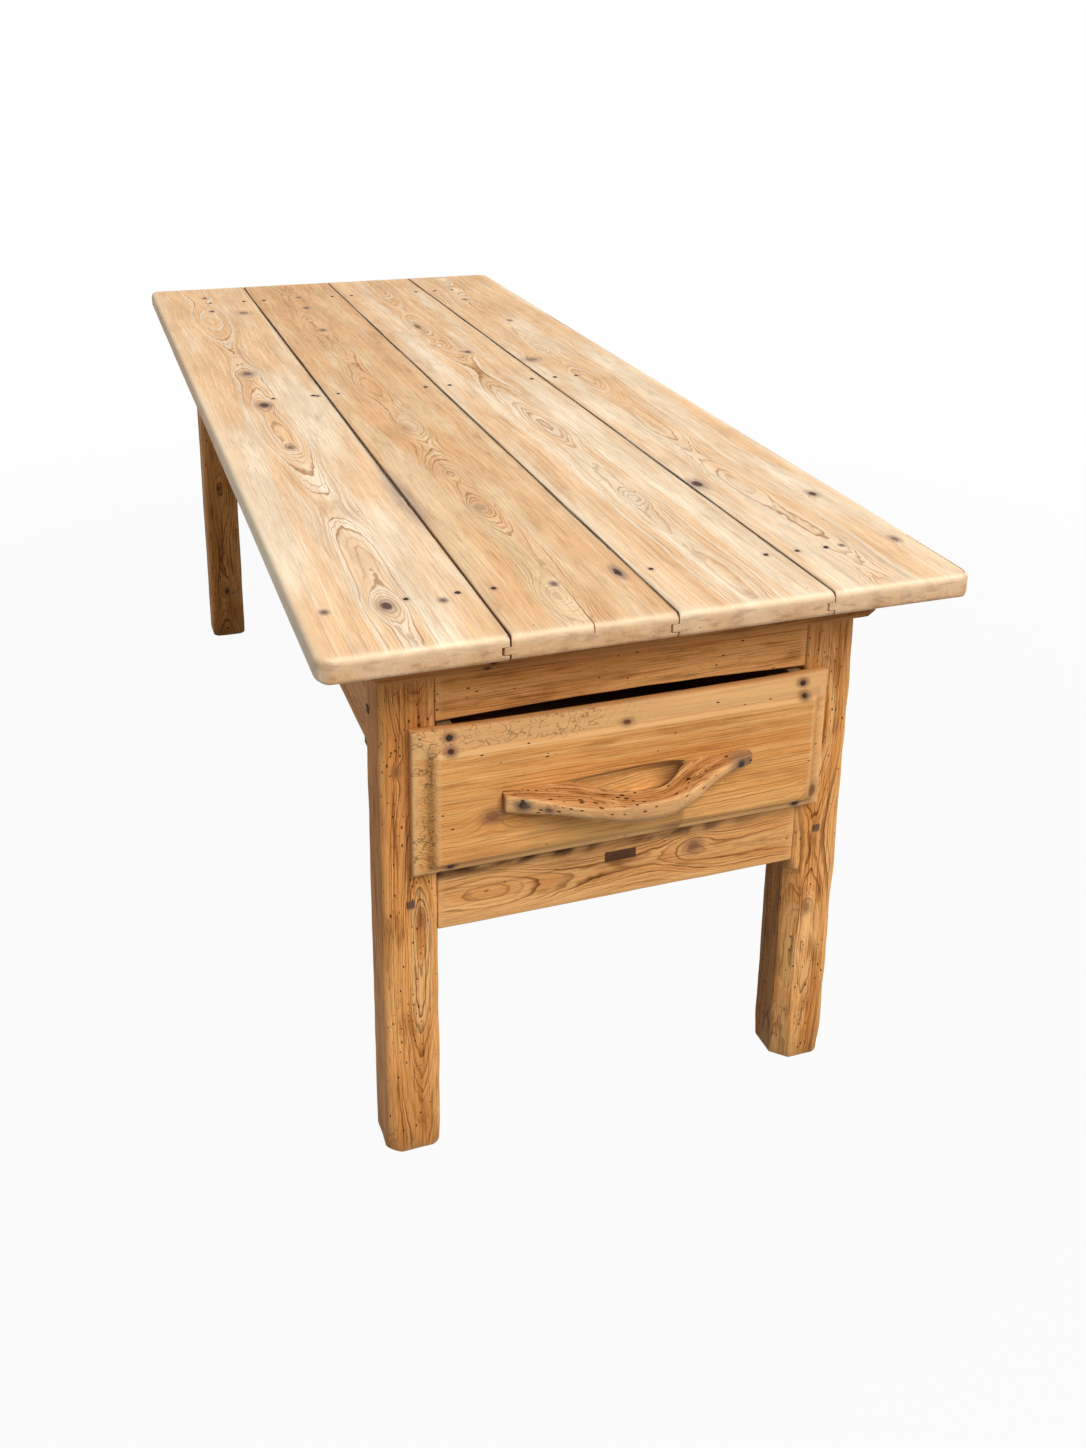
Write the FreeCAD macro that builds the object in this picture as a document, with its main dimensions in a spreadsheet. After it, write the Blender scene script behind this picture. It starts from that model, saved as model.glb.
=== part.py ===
"""Farmhouse table in old pine with one drawer in its front end.

X runs across the table, Y along it from the drawer end to the far end, Z up.
The origin lies on the floor under the middle of the top. All sizes are in millimetres.
"""

import FreeCAD, Part
import os
import Sketcher
from FreeCAD import Vector

doc = FreeCAD.newDocument("farmhouse_table")

# Driving dimensions
SIZES = {
    "table_height": 770,
    "top_length": 2014,
    "top_width": 810,
    "top_thickness": 30,
    "board_2_width": 201,
    "board_3_width": 201,
    "middle_joint_offset": 10,
    "left_edge_lean": 20,
    "joint_1_lean": 13,
    "joint_2_lean": 8,
    "seam_gap": 1.2,
    "tongue_reach": 8,
    "tongue_thickness": 9,
    "tongue_lift": 8,
    "tongue_clearance": 0.4,
    "corner_radius": 24,
    "top_round": 11,
    "under_round": 6,
    "nail_side": 6,
    "nail_length": 54,
    "nail_sink": 0.5,
    "nail_joint_inset": 22,
    "nail_apron_inset": 12,
    "nail_setback": 21,
    "frame_width": 630,
    "leg_side": 70,
    "leg_arris": 5,
    "foot_arris": 7,
    "stop_chamfer": 11,
    "stop_chamfer_drop": 4,
    "stop_chamfer_run": 26,
    "cutter_margin": 1,
    "front_overhang": 114,
    "rear_overhang": 146,
    "bearer_height": 60,
    "bearer_proud": 11,
    "bearer_left_end": 11,
    "bearer_right_end": 21,
    "bearer_end_round": 14,
    "middle_bearer_depth": 72,
    "middle_bearer_shift": 28,
    "bearer_housing": 10,
    "leg_tenon_side": 38,
    "leg_tenon_height": 34,
    "tenon_thickness": 10,
    "tenon_length": 36,
    "tenon_shoulder": 10,
    "mortise_clearance": 0.3,
    "rail_thickness": 32,
    "rail_setback": 2,
    "upper_rail_height": 63,
    "upper_rail_arch": 5,
    "lower_rail_height": 88,
    "lower_tenon_length": 54,
    "plug_width": 43,
    "plug_height": 15,
    "plug_depth": 14,
    "plug_shift": 4,
    "plug_drop": 29,
    "plug_sink": 0.6,
    "apron_height": 178,
    "apron_thickness": 26,
    "apron_setback": 3,
    "peg_side": 10,
    "peg_length": 46,
    "peg_proud": 0.6,
    "drawer_opening_height": 199,
    "drawer_depth": 365,
    "drawer_side_thickness": 18,
    "drawer_top_play": 6.7,
    "drawer_side_play": 2,
    "drawer_running_gap": 0.3,
    "drawer_front_gap": 0.5,
    "drawer_front_left_lap": 35,
    "drawer_front_right_lap": 26,
    "drawer_front_top_lap": 1,
    "drawer_front_lift": 3,
    "drawer_front_thickness": 25,
    "drawer_front_edge": 16,
    "drawer_front_hollow": 4,
    "field_left_margin": 30,
    "field_right_margin": 23,
    "field_top_margin": 36,
    "field_low_margin": 17,
    "finger_hollow_length": 140,
    "finger_hollow_depth": 7,
    "finger_hollow_reach": 22,
    "finger_hollow_drop": 106,
    "drawer_back_thickness": 16,
    "drawer_back_drop": 12,
    "drawer_bottom_thickness": 11,
    "drawer_bottom_lift": 10,
    "drawer_groove_depth": 6,
    "drawer_nail_side": 5,
    "drawer_nail_length": 48,
    "drawer_nail_top": 7,
    "drawer_nail_second": 22,
    "drawer_nail_low": 13,
    "runner_width": 38,
    "runner_height": 36,
    "runner_tenon": 14,
    "guide_width": 12,
    "guide_length": 220,
    "guide_rise": 24,
    "kicker_height": 30,
    "hanger_width": 34,
    "hanger_depth": 36,
    "hanger_clearance": 3,
    "cross_rail_height": 92,
    "cross_rail_thickness": 30,
    "cross_rail_housing": 10,
    "handle_length": 331,
    "handle_shift": 6,
    "handle_drop": 102,
    "handle_end_height": 19,
    "handle_end_out": 10,
    "handle_crest_height": 34,
    "handle_crest_out": 61,
    "handle_crest_inner": 38,
    "handle_top_dip": 10,
    "handle_fullness": 0.7,
    "handle_gap_length": 175,
    "handle_low_bevel": 7,
    "handle_top_bevel": 4,
    "handle_seat_trim": 5,
    "handle_nail_inset": 20,
    "handle_nail_side": 6,
    "handle_nail_length": 30,
    "handle_nail_out": 14,
}

sheet = doc.addObject("Spreadsheet::Sheet", "Sizes")
for row, (alias, value) in enumerate(SIZES.items(), start=1):
    sheet.set(f"A{row}", alias)
    sheet.set(f"B{row}", str(value))
    sheet.setAlias(f"B{row}", alias)
doc.recompute()

# Levels and planes that several pieces share, as expressions of the driving dimensions
UNDERSIDE = "(Sizes.table_height - Sizes.top_thickness)"
FRAME_TOP = f"({UNDERSIDE} - Sizes.bearer_height)"
FRONT_FACE = "(Sizes.front_overhang - Sizes.top_length / 2)"
REAR_FACE = "(Sizes.top_length / 2 - Sizes.rear_overhang)"
LEG_CENTRE = "(Sizes.frame_width / 2 - Sizes.leg_side / 2)"
LEG_INNER = "(Sizes.frame_width / 2 - Sizes.leg_side)"
RAIL_LENGTH = "(Sizes.frame_width - 2 * Sizes.leg_side)"
BEARER_DEPTH = "(Sizes.leg_side + Sizes.bearer_proud)"
UPPER_RAIL_BOTTOM = f"({FRAME_TOP} - Sizes.upper_rail_height)"
RUNNER_TOP = f"({UPPER_RAIL_BOTTOM} - Sizes.drawer_opening_height)"
LOWER_RAIL_BOTTOM = f"({RUNNER_TOP} - Sizes.lower_rail_height)"
APRON_BOTTOM = f"({UNDERSIDE} - Sizes.apron_height)"
CROSS_RAIL_BOTTOM = f"({FRAME_TOP} - Sizes.cross_rail_height)"
DRAWER_LOW = f"({RUNNER_TOP} + Sizes.drawer_running_gap)"
DRAWER_SIDE_TOP = f"({UPPER_RAIL_BOTTOM} - Sizes.drawer_top_play)"
DRAWER_HALF = f"({LEG_INNER} - Sizes.drawer_side_play)"
DRAWER_INNER = f"({DRAWER_HALF} - Sizes.drawer_side_thickness)"
DRAWER_FRONT_BACK = f"({FRONT_FACE} - Sizes.drawer_front_gap)"
DRAWER_FACE = f"({DRAWER_FRONT_BACK} - Sizes.drawer_front_thickness)"
DRAWER_FRONT_LOW = f"({RUNNER_TOP} + Sizes.drawer_front_lift)"
DRAWER_FRONT_TOP = f"({UPPER_RAIL_BOTTOM} + Sizes.drawer_front_top_lap)"
DRAWER_FRONT_LEFT = f"(-{LEG_INNER} - Sizes.drawer_front_left_lap)"
DRAWER_FRONT_RIGHT = f"({LEG_INNER} + Sizes.drawer_front_right_lap)"
DRAWER_REAR = f"({DRAWER_FRONT_BACK} + Sizes.drawer_depth)"
HANGER_FRONT = f"({DRAWER_REAR} + Sizes.hanger_clearance)"
HANGER_REAR = f"({HANGER_FRONT} + Sizes.hanger_depth)"
APRON_INNER = "(Sizes.frame_width / 2 - Sizes.apron_setback - Sizes.apron_thickness)"
MIDDLE_BEARER_FRONT = "(Sizes.middle_bearer_shift - Sizes.middle_bearer_depth / 2)"

SIDES = {"left": -1, "right": 1}
NODES = []

# Lengths that differ by less than this count as equal
CLOSE = 0.01


def number(expression):
    """Value of an expression of the driving dimensions."""
    return float(sheet.evalExpression(expression.replace("Sizes.", "")))


def place(piece, across, along, up):
    """Binds the place of a piece's own origin to expressions."""
    piece.setExpression("Placement.Base.x", across)
    piece.setExpression("Placement.Base.y", along)
    piece.setExpression("Placement.Base.z", up)


def new_body(name, across, along, up):
    """Empty body whose own origin lies at the given place."""
    body = doc.addObject("PartDesign::Body", name)
    body.Label = name
    place(body, across, along, up)
    return body


def new_sketch(body, name, plane_role, offset=None):
    """Sketch on one of the body's own origin planes, moved along that plane's normal by an expression."""
    plane = next(feature for feature in body.Origin.OriginFeatures if feature.Role == plane_role)
    sketch = body.newObject("Sketcher::SketchObject", f"{body.Name}_{name}")
    sketch.AttachmentSupport = (plane, [""])
    sketch.MapMode = "FlatFace"
    if offset:
        sketch.setExpression("AttachmentOffset.Base.z", offset)
    return sketch


def outline(sketch, corners, arches=None, closed=True):
    """Outline through corners given as expressions.

    arches maps the number of a side to the rise of its arc, positive to the left of the side's direction.
    """
    arches = arches or {}
    sides = len(corners) if closed else len(corners) - 1
    first = sketch.GeometryCount
    points = [Vector(number(x), number(y), 0) for x, y in corners]
    for side, start in enumerate(points[:sides]):
        end = points[(side + 1) % len(points)]
        if side in arches:
            along = end - start
            outward = Vector(-along.y, along.x, 0).normalize()
            crown = (start + end) * 0.5 + outward * number(arches[side])
            sketch.addGeometry(Part.Arc(start, crown, end))
        else:
            sketch.addGeometry(Part.LineSegment(start, end))
    # A clockwise arc is stored counter-clockwise, so its first point is found by place.
    ends = []
    for side, start in enumerate(points[:sides]):
        in_order = (sketch.getPoint(first + side, 1) - start).Length < CLOSE
        ends.append((1, 2) if in_order else (2, 1))
    for side in range(sides if closed else sides - 1):
        after = (side + 1) % sides
        sketch.addConstraint(
            Sketcher.Constraint("Coincident", first + side, ends[side][1], first + after, ends[after][0]))
    for corner, (x, y) in enumerate(corners):
        side = min(corner, sides - 1)
        end = ends[side][0 if corner < sides else 1]
        for kind, expression in (("DistanceX", x), ("DistanceY", y)):
            distance = Sketcher.Constraint(kind, -1, 1, first + side, end, number(expression))
            index = sketch.addConstraint(distance)
            sketch.setExpression(f"Constraints[{index}]", expression)
    for side, rise in arches.items():
        (x0, y0), (x1, y1) = corners[side], corners[(side + 1) % len(corners)]
        chord = f"sqrt((({x1}) - ({x0})) ^ 2 + (({y1}) - ({y0})) ^ 2)"
        radius = f"({chord} ^ 2 / (8 * abs({rise})) + abs({rise}) / 2)"
        index = sketch.addConstraint(Sketcher.Constraint("Radius", first + side, number(radius)))
        sketch.setExpression(f"Constraints[{index}]", radius)
    return sketch


def rectangle(sketch, left, right, low, high):
    """Rectangle between four expressions."""
    return outline(sketch, [(left, low), (right, low), (right, high), (left, high)])


def pad(body, sketch, length, reverse=False):
    """Pad along the sketch plane's normal, or against it."""
    feature = body.newObject("PartDesign::Pad", f"{sketch.Name}_pad")
    feature.Profile = sketch
    feature.setExpression("Length", length)
    feature.Reversed = reverse
    doc.recompute()
    return feature


def pocket(body, sketch, depth, reverse=False):
    """Pocket against the sketch plane's normal, or along it; it has to take something away."""
    before = body.Shape.Volume
    feature = body.newObject("PartDesign::Pocket", f"{sketch.Name}_pocket")
    feature.Profile = sketch
    feature.setExpression("Length", depth)
    feature.Reversed = reverse
    doc.recompute()
    if body.Shape.Volume >= before:
        raise RuntimeError(f"{feature.Name} cuts nothing")
    return feature


def dress(body, kind, name, size, edge_test):
    """Fillet or chamfer of the edges that pass a test."""
    base = body.Tip
    edges = [f"Edge{index}" for index, edge in enumerate(base.Shape.Edges, start=1) if edge_test(edge)]
    feature = body.newObject(f"PartDesign::{kind}", f"{body.Name}_{name}")
    feature.Base = (base, edges)
    feature.setExpression("Radius" if kind == "Fillet" else "Size", size)
    doc.recompute()
    return feature


def near(value, expression):
    """Whether a coordinate equals an expression."""
    return abs(value - number(expression)) < CLOSE


def upright_at(edge, across=None, along=None):
    """Whether an edge stands upright at the given place in the body's own axes."""
    box = edge.BoundBox
    if box.XLength > CLOSE or box.YLength > CLOSE:
        return False
    return (across is None or near(box.XMin, across)) and (along is None or near(box.YMin, along))


def level_at(edge, up):
    """Whether an edge lies level at the given height in the body's own axes."""
    box = edge.BoundBox
    return box.ZLength < CLOSE and near(box.ZMin, up)


def keep(piece, name):
    """Lists a piece under the name of its file."""
    piece.Label = name
    NODES.append(piece)
    return piece


def without(blank, name, *tools):
    """Piece that is a blank with the given pieces' holes cut through it."""
    for tool in tools:
        cut = doc.addObject("Part::Cut", f"{blank.Name}_cut")
        cut.Base = blank
        cut.Tool = tool
        blank = cut
    return keep(blank, name)


def bar(name, across, along, up):
    """Square-ended bar between pairs of expressions on each axis."""
    body = new_body(name, across[0], along[0], up[0])
    sketch = new_sketch(body, "end", "XY_Plane")
    rectangle(sketch, "0", f"({across[1]}) - ({across[0]})", "0", f"({along[1]}) - ({along[0]})")
    pad(body, sketch, f"({up[1]}) - ({up[0]})")
    return body


def group(name, pieces):
    """Identical fasteners under one name, each a solid of its own."""
    compound = doc.addObject("Part::Compound", name)
    compound.Links = pieces
    return keep(compound, name)


def square_pin(name, size, across, along, up):
    """Square pin between expressions, with its three sizes in size."""
    pin = doc.addObject("Part::Box", name)
    for side, expression in zip(("Length", "Width", "Height"), size):
        pin.setExpression(side, expression)
    place(pin, across, along, up)
    return pin


# Where the top's three joints and two long edges lie, at the front and at the back
FRONT_LINES = [
    "-Sizes.top_width / 2",
    "(Sizes.middle_joint_offset - Sizes.board_2_width)",
    "Sizes.middle_joint_offset",
    "(Sizes.middle_joint_offset + Sizes.board_3_width)",
    "Sizes.top_width / 2",
]
LEANS = ["Sizes.left_edge_lean", "Sizes.joint_1_lean", "Sizes.joint_2_lean", "0", "0"]
BOARDS = len(FRONT_LINES) - 1
NAIL_ROWS = [
    f"({FRONT_FACE} + Sizes.nail_setback)",
    "Sizes.middle_bearer_shift",
    f"({REAR_FACE} - Sizes.nail_setback)",
]


def line_at(line, along):
    """X of a joint or long edge at a distance along the top, as an expression."""
    share = f"(({along}) / Sizes.top_length + 0.5)"
    return f"(({FRONT_LINES[line]}) + ({LEANS[line]}) * {share})"


def make_top_nails():
    """Three rows of nails, two to a board, driven through the top into the bearers."""
    nails = []
    size = ["Sizes.nail_side", "Sizes.nail_side", "Sizes.nail_length"]
    up = "Sizes.table_height - Sizes.nail_sink - Sizes.nail_length"
    for row_number, row_along in enumerate(NAIL_ROWS):
        for board in range(BOARDS):
            centres = [
                f"{line_at(board, row_along)} + Sizes.nail_joint_inset",
                f"{line_at(board + 1, row_along)} - Sizes.nail_joint_inset",
            ]
            if board == 0:
                centres[0] = f"Sizes.nail_apron_inset - {APRON_INNER}"
            if board == BOARDS - 1:
                centres[1] = f"{APRON_INNER} - Sizes.nail_apron_inset"
            for end, centre in enumerate(centres):
                nails.append(square_pin(
                    f"top_nail_{row_number}_{board}_{end}", size,
                    f"{centre} - Sizes.nail_side / 2", f"{row_along} - Sizes.nail_side / 2", up))
    return group("top_nails", nails)


def make_top_board(board, nails):
    """One board of the top, tongued on its left edge and grooved on its right, with worn round ends."""
    name = f"top_board_{board + 1}"
    first, last = board == 0, board == BOARDS - 1
    body = new_body(f"{name}_blank", "0", "-Sizes.top_length / 2", UNDERSIDE)
    left_gap = "0" if first else "Sizes.seam_gap / 2"
    right_gap = "0" if last else "Sizes.seam_gap / 2"
    left = f"({FRONT_LINES[board]}) + {left_gap}"
    right = f"({FRONT_LINES[board + 1]}) - {right_gap}"
    left_back = f"{left} + {LEANS[board]}"
    right_back = f"{right} + {LEANS[board + 1]}"

    def strip(sketch, edge, edge_back, inner, outer):
        """Strip along a long edge, between two distances to its right."""
        outline(sketch, [
            (f"{edge} + {inner}", "0"), (f"{edge} + {outer}", "0"),
            (f"{edge_back} + {outer}", "Sizes.top_length"), (f"{edge_back} + {inner}", "Sizes.top_length")])

    back_end = "Sizes.top_length"
    plan = new_sketch(body, "plan", "XY_Plane")
    outline(plan, [(left, "0"), (right, "0"), (right_back, back_end), (left_back, back_end)])
    pad(body, plan, "Sizes.top_thickness")
    if first or last:
        edge_front, edge_back = (left, left_back) if first else (right, right_back)
        dress(body, "Fillet", "corner", "Sizes.corner_radius",
              lambda edge: upright_at(edge, edge_front, "0") or upright_at(edge, edge_back, back_end))

    def seam(edge):
        """Whether an edge runs along one of the board's joints."""
        box = edge.BoundBox
        middle = (box.XMin + box.XMax) / 2
        on_left = not first and near(middle, f"({left} + {left_back}) / 2")
        on_right = not last and near(middle, f"({right} + {right_back}) / 2")
        return box.YLength > number("Sizes.top_length") / 2 and (on_left or on_right)

    dress(body, "Fillet", "top_round", "Sizes.top_round",
          lambda edge: level_at(edge, "Sizes.top_thickness") and not seam(edge))
    dress(body, "Fillet", "under_round", "Sizes.under_round",
          lambda edge: level_at(edge, "0") and not seam(edge))
    if not first:
        tongue = new_sketch(body, "tongue", "XY_Plane", "Sizes.tongue_lift")
        strip(tongue, left, left_back, "-Sizes.tongue_reach", "0")
        pad(body, tongue, "Sizes.tongue_thickness")
    if not last:
        groove_high = "Sizes.tongue_lift + Sizes.tongue_thickness + Sizes.tongue_clearance"
        groove_floor = "(Sizes.seam_gap - Sizes.tongue_reach - Sizes.tongue_clearance)"
        groove = new_sketch(body, "groove", "XY_Plane", groove_high)
        strip(groove, right, right_back, groove_floor, "Sizes.seam_gap")
        pocket(body, groove, "Sizes.tongue_thickness + 2 * Sizes.tongue_clearance")
    return without(body, name, nails)


def make_end_bearer(name, end, nails):
    """Cross bearer on the tops of two legs, a little proud of them, with rounded lower ends."""
    length = "(Sizes.frame_width + Sizes.bearer_left_end + Sizes.bearer_right_end)"
    front = end < 0
    along = f"{FRONT_FACE} - Sizes.bearer_proud" if front else f"{REAR_FACE} - Sizes.leg_side"
    body = new_body(f"{name}_blank", "-Sizes.frame_width / 2 - Sizes.bearer_left_end", along, FRAME_TOP)
    face = new_sketch(body, "face", "XZ_Plane")
    rectangle(face, "0", length, "0", "Sizes.bearer_height")
    pad(body, face, BEARER_DEPTH, reverse=True)

    def low_end(edge):
        """Whether an edge is the lower arris of an end of the bearer."""
        box = edge.BoundBox
        at_end = near(box.XMin, "0") or near(box.XMin, length)
        return box.XLength < CLOSE and level_at(edge, "0") and at_end

    dress(body, "Fillet", "low_ends", "Sizes.bearer_end_round", low_end)
    leg_middle = "Sizes.bearer_proud + Sizes.leg_side / 2" if front else "Sizes.leg_side / 2"
    half = "(Sizes.leg_tenon_side / 2 + Sizes.mortise_clearance)"
    mortises = new_sketch(body, "mortises", "XY_Plane")
    for centre in ("Sizes.leg_side / 2", "(Sizes.frame_width - Sizes.leg_side / 2)"):
        middle = f"(Sizes.bearer_left_end + {centre})"
        rectangle(mortises, f"{middle} - {half}", f"{middle} + {half}",
                  f"{leg_middle} - {half}", f"{leg_middle} + {half}")
    pocket(body, mortises, "Sizes.leg_tenon_height + Sizes.mortise_clearance", reverse=True)
    return without(body, name, nails)


def make_middle_bearer(nails):
    """Cross bearer under the middle of the top, with its ends housed in the aprons."""
    reach = f"({APRON_INNER} + Sizes.bearer_housing)"
    along = (MIDDLE_BEARER_FRONT, f"{MIDDLE_BEARER_FRONT} + Sizes.middle_bearer_depth")
    body = bar("middle_bearer_blank", (f"-{reach}", reach), along, (FRAME_TOP, UNDERSIDE))
    return without(body, "middle_bearer", nails)


# Pegs through the tenons
PEG_LEVEL_LOWER = f"({LOWER_RAIL_BOTTOM} + Sizes.lower_rail_height / 2)"
PEG_LEVEL_FRAME = f"(({APRON_BOTTOM} + {FRAME_TOP}) / 2)"
PEG_IN_TENON = "(Sizes.tenon_length / 2)"


def make_rail_pegs(name, along, level, from_inner):
    """One square peg in each leg of an end, driven along Y through the tenons of a rail."""
    size = ["Sizes.peg_side", "Sizes.peg_length", "Sizes.peg_side"]
    pegs = []
    for side, sign in SIDES.items():
        across = f"{sign} * ({LEG_INNER} + {from_inner}) - Sizes.peg_side / 2"
        pegs.append(square_pin(f"{name}_{side}", size, across, along, f"{level} - Sizes.peg_side / 2"))
    return group(name, pegs)


def make_apron_pegs():
    """One square peg in each leg, driven inwards along X through the tenon of an apron."""
    size = ["Sizes.peg_length", "Sizes.peg_side", "Sizes.peg_side"]
    ends = {
        "front": f"{FRONT_FACE} + Sizes.leg_side - {PEG_IN_TENON}",
        "rear": f"{REAR_FACE} - Sizes.leg_side + {PEG_IN_TENON}",
    }
    outer = "(Sizes.frame_width / 2 + Sizes.peg_proud)"
    acrosses = {"left": f"-{outer}", "right": f"{outer} - Sizes.peg_length"}
    low = f"{PEG_LEVEL_FRAME} - Sizes.peg_side / 2"
    pegs = []
    for end, along in ends.items():
        for side, across in acrosses.items():
            name = f"apron_peg_{end}_{side}"
            pegs.append(square_pin(name, size, across, f"{along} - Sizes.peg_side / 2", low))
    return group("apron_pegs", pegs)


def make_lower_rail_plug():
    """Plug of dark wood let into the face of the lower rail."""
    size = ["Sizes.plug_width", "Sizes.plug_depth", "Sizes.plug_height"]
    middle_up = f"({RUNNER_TOP} - Sizes.plug_drop)"
    plug = square_pin("lower_rail_plug", size, "-Sizes.plug_shift - Sizes.plug_width / 2",
                      f"{FRONT_FACE} + Sizes.plug_sink", f"{middle_up} - Sizes.plug_height / 2")
    return keep(plug, "lower_rail_plug")


# Heights between which the tenons of each rail and apron reach
TENONS = {
    "upper": (f"({UPPER_RAIL_BOTTOM} + Sizes.tenon_shoulder)", f"({FRAME_TOP} - Sizes.tenon_shoulder)"),
    "lower": (f"({LOWER_RAIL_BOTTOM} + Sizes.tenon_shoulder)", f"({RUNNER_TOP} - Sizes.tenon_shoulder)"),
    "frame": (f"({APRON_BOTTOM} + Sizes.tenon_shoulder)", f"({FRAME_TOP} - Sizes.tenon_shoulder)"),
}
TENON_FROM_FACE = "(Sizes.rail_thickness / 2)"
HALF_TENON = "(Sizes.tenon_thickness / 2)"
HALF_MORTISE = f"({HALF_TENON} + Sizes.mortise_clearance)"


def make_leg(side, end, pegs):
    """Square leg with worn arrises, a tenon at its top and mortises for the rails and the apron."""
    sign = SIDES[side]
    front = end == "front"
    name = f"{end}_{side}_leg"
    half = "(Sizes.leg_side / 2)"
    along = f"{FRONT_FACE} + {half}" if front else f"{REAR_FACE} - {half}"
    body = new_body(f"{name}_blank", f"{sign} * {LEG_CENTRE}", along, "0")
    section = new_sketch(body, "section", "XY_Plane")
    rectangle(section, f"-{half}", half, f"-{half}", half)
    pad(body, section, FRAME_TOP)
    dress(body, "Chamfer", "arrises", "Sizes.leg_arris", upright_at)
    dress(body, "Chamfer", "foot", "Sizes.foot_arris", lambda edge: level_at(edge, "0"))
    tenon = new_sketch(body, "tenon", "XY_Plane", FRAME_TOP)
    half_tenon = "(Sizes.leg_tenon_side / 2)"
    rectangle(tenon, f"-{half_tenon}", half_tenon, f"-{half_tenon}", half_tenon)
    pad(body, tenon, "Sizes.leg_tenon_height")

    inner_face = f"{-sign} * {half}"
    rails = {"upper": "Sizes.tenon_length", "lower": "Sizes.lower_tenon_length"}
    if not front:
        rails = {"frame": "Sizes.tenon_length"}
    for rail, length in rails.items():
        setback = "Sizes.rail_setback" if rail == "upper" else "0"
        from_face = f"({half} - {setback} - {TENON_FROM_FACE})"
        middle = f"-{from_face}" if front else from_face
        low, high = TENONS[rail]
        mortise = new_sketch(body, f"{rail}_mortise", "YZ_Plane", inner_face)
        rectangle(mortise, f"{middle} - {HALF_MORTISE}", f"{middle} + {HALF_MORTISE}",
                  f"{low} - Sizes.mortise_clearance", f"{high} + Sizes.mortise_clearance")
        pocket(body, mortise, f"{length} + Sizes.mortise_clearance", reverse=sign > 0)

    apron_middle = f"{sign} * ({half} - Sizes.apron_setback - Sizes.apron_thickness / 2)"
    low, high = TENONS["frame"]
    apron_face = f"-{half}" if front else half
    mortise = new_sketch(body, "apron_mortise", "XZ_Plane", apron_face)
    rectangle(mortise, f"{apron_middle} - {HALF_MORTISE}", f"{apron_middle} + {HALF_MORTISE}",
              f"{low} - Sizes.mortise_clearance", f"{high} + Sizes.mortise_clearance")
    pocket(body, mortise, "Sizes.tenon_length + Sizes.mortise_clearance", reverse=front)
    if front and side == "right":
        cut_stop_chamfer(body)
    return without(body, name, *pegs)


def cut_stop_chamfer(body):
    """Broad chamfer down the inner front arris to the foot, which starts in a slope below the lower rail."""
    half = "(Sizes.leg_side / 2)"
    loft = body.newObject("PartDesign::SubtractiveLoft", f"{body.Name}_stop_chamfer")
    sections = []
    start = f"({LOWER_RAIL_BOTTOM} - Sizes.stop_chamfer_drop)"
    levels = [
        ("start", start, "Sizes.leg_arris"),
        ("full", f"{start} - Sizes.stop_chamfer_run", "Sizes.stop_chamfer"),
        ("foot", "-Sizes.cutter_margin", "Sizes.stop_chamfer"),
    ]
    outside = f"(-{half} - Sizes.cutter_margin)"
    for level, height, width in levels:
        reach = f"(-{half} + {width} + Sizes.cutter_margin)"
        corner = new_sketch(body, f"chamfer_{level}", "XY_Plane", height)
        outline(corner, [(outside, outside), (reach, outside), (outside, reach)])
        sections.append(corner)
    before = body.Shape.Volume
    loft.Profile = sections[0]
    loft.Sections = sections[1:]
    loft.Ruled = True
    body.Tip = loft
    doc.recompute()
    if body.Shape.Volume >= before:
        raise RuntimeError("the stopped chamfer cuts nothing")


def make_end_rail(name, rail, along, low, high, length, pegs=(), arch=None):
    """Rail between two legs of an end, tenoned into them, with a straight or arched lower edge."""
    body = new_body(f"{name}_blank", f"-{LEG_INNER}", along, low)
    face = new_sketch(body, "face", "XZ_Plane")
    height = f"({high}) - ({low})"
    corners = [("0", "0"), (RAIL_LENGTH, "0"), (RAIL_LENGTH, height), ("0", height)]
    outline(face, corners, {0: arch} if arch else None)
    pad(body, face, "Sizes.rail_thickness", reverse=True)
    tenon_low, tenon_high = TENONS[rail]
    front_cheek = f"-({TENON_FROM_FACE} - {HALF_TENON})"
    tenons = new_sketch(body, "tenons", "XZ_Plane", front_cheek)
    for left, right in ((f"-{length}", "0"), (RAIL_LENGTH, f"{RAIL_LENGTH} + {length}")):
        rectangle(tenons, left, right, f"{tenon_low} - ({low})", f"{tenon_high} - ({low})")
    pad(body, tenons, "Sizes.tenon_thickness", reverse=True)
    if rail == "lower":
        back = "-Sizes.rail_thickness"
        seats = new_sketch(body, "runner_seats", "XZ_Plane", back)
        inner_end = f"{RAIL_LENGTH} - Sizes.runner_width"
        for left, right in (("0", "Sizes.runner_width"), (inner_end, RAIL_LENGTH)):
            rectangle(seats, left, right, f"{height} - Sizes.runner_height", height)
        pocket(body, seats, "Sizes.runner_tenon", reverse=True)
        mouth = new_sketch(body, "plug_mouth", "XZ_Plane")
        plug_left = "(Sizes.frame_width / 2 - Sizes.leg_side - Sizes.plug_shift - Sizes.plug_width / 2)"
        plug_low = f"({height} - Sizes.plug_drop - Sizes.plug_height / 2)"
        rectangle(mouth, plug_left, f"{plug_left} + Sizes.plug_width",
                  plug_low, f"{plug_low} + Sizes.plug_height")
        pocket(body, mouth, "Sizes.plug_depth + Sizes.plug_sink")
    return without(body, name, *pegs)


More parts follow.
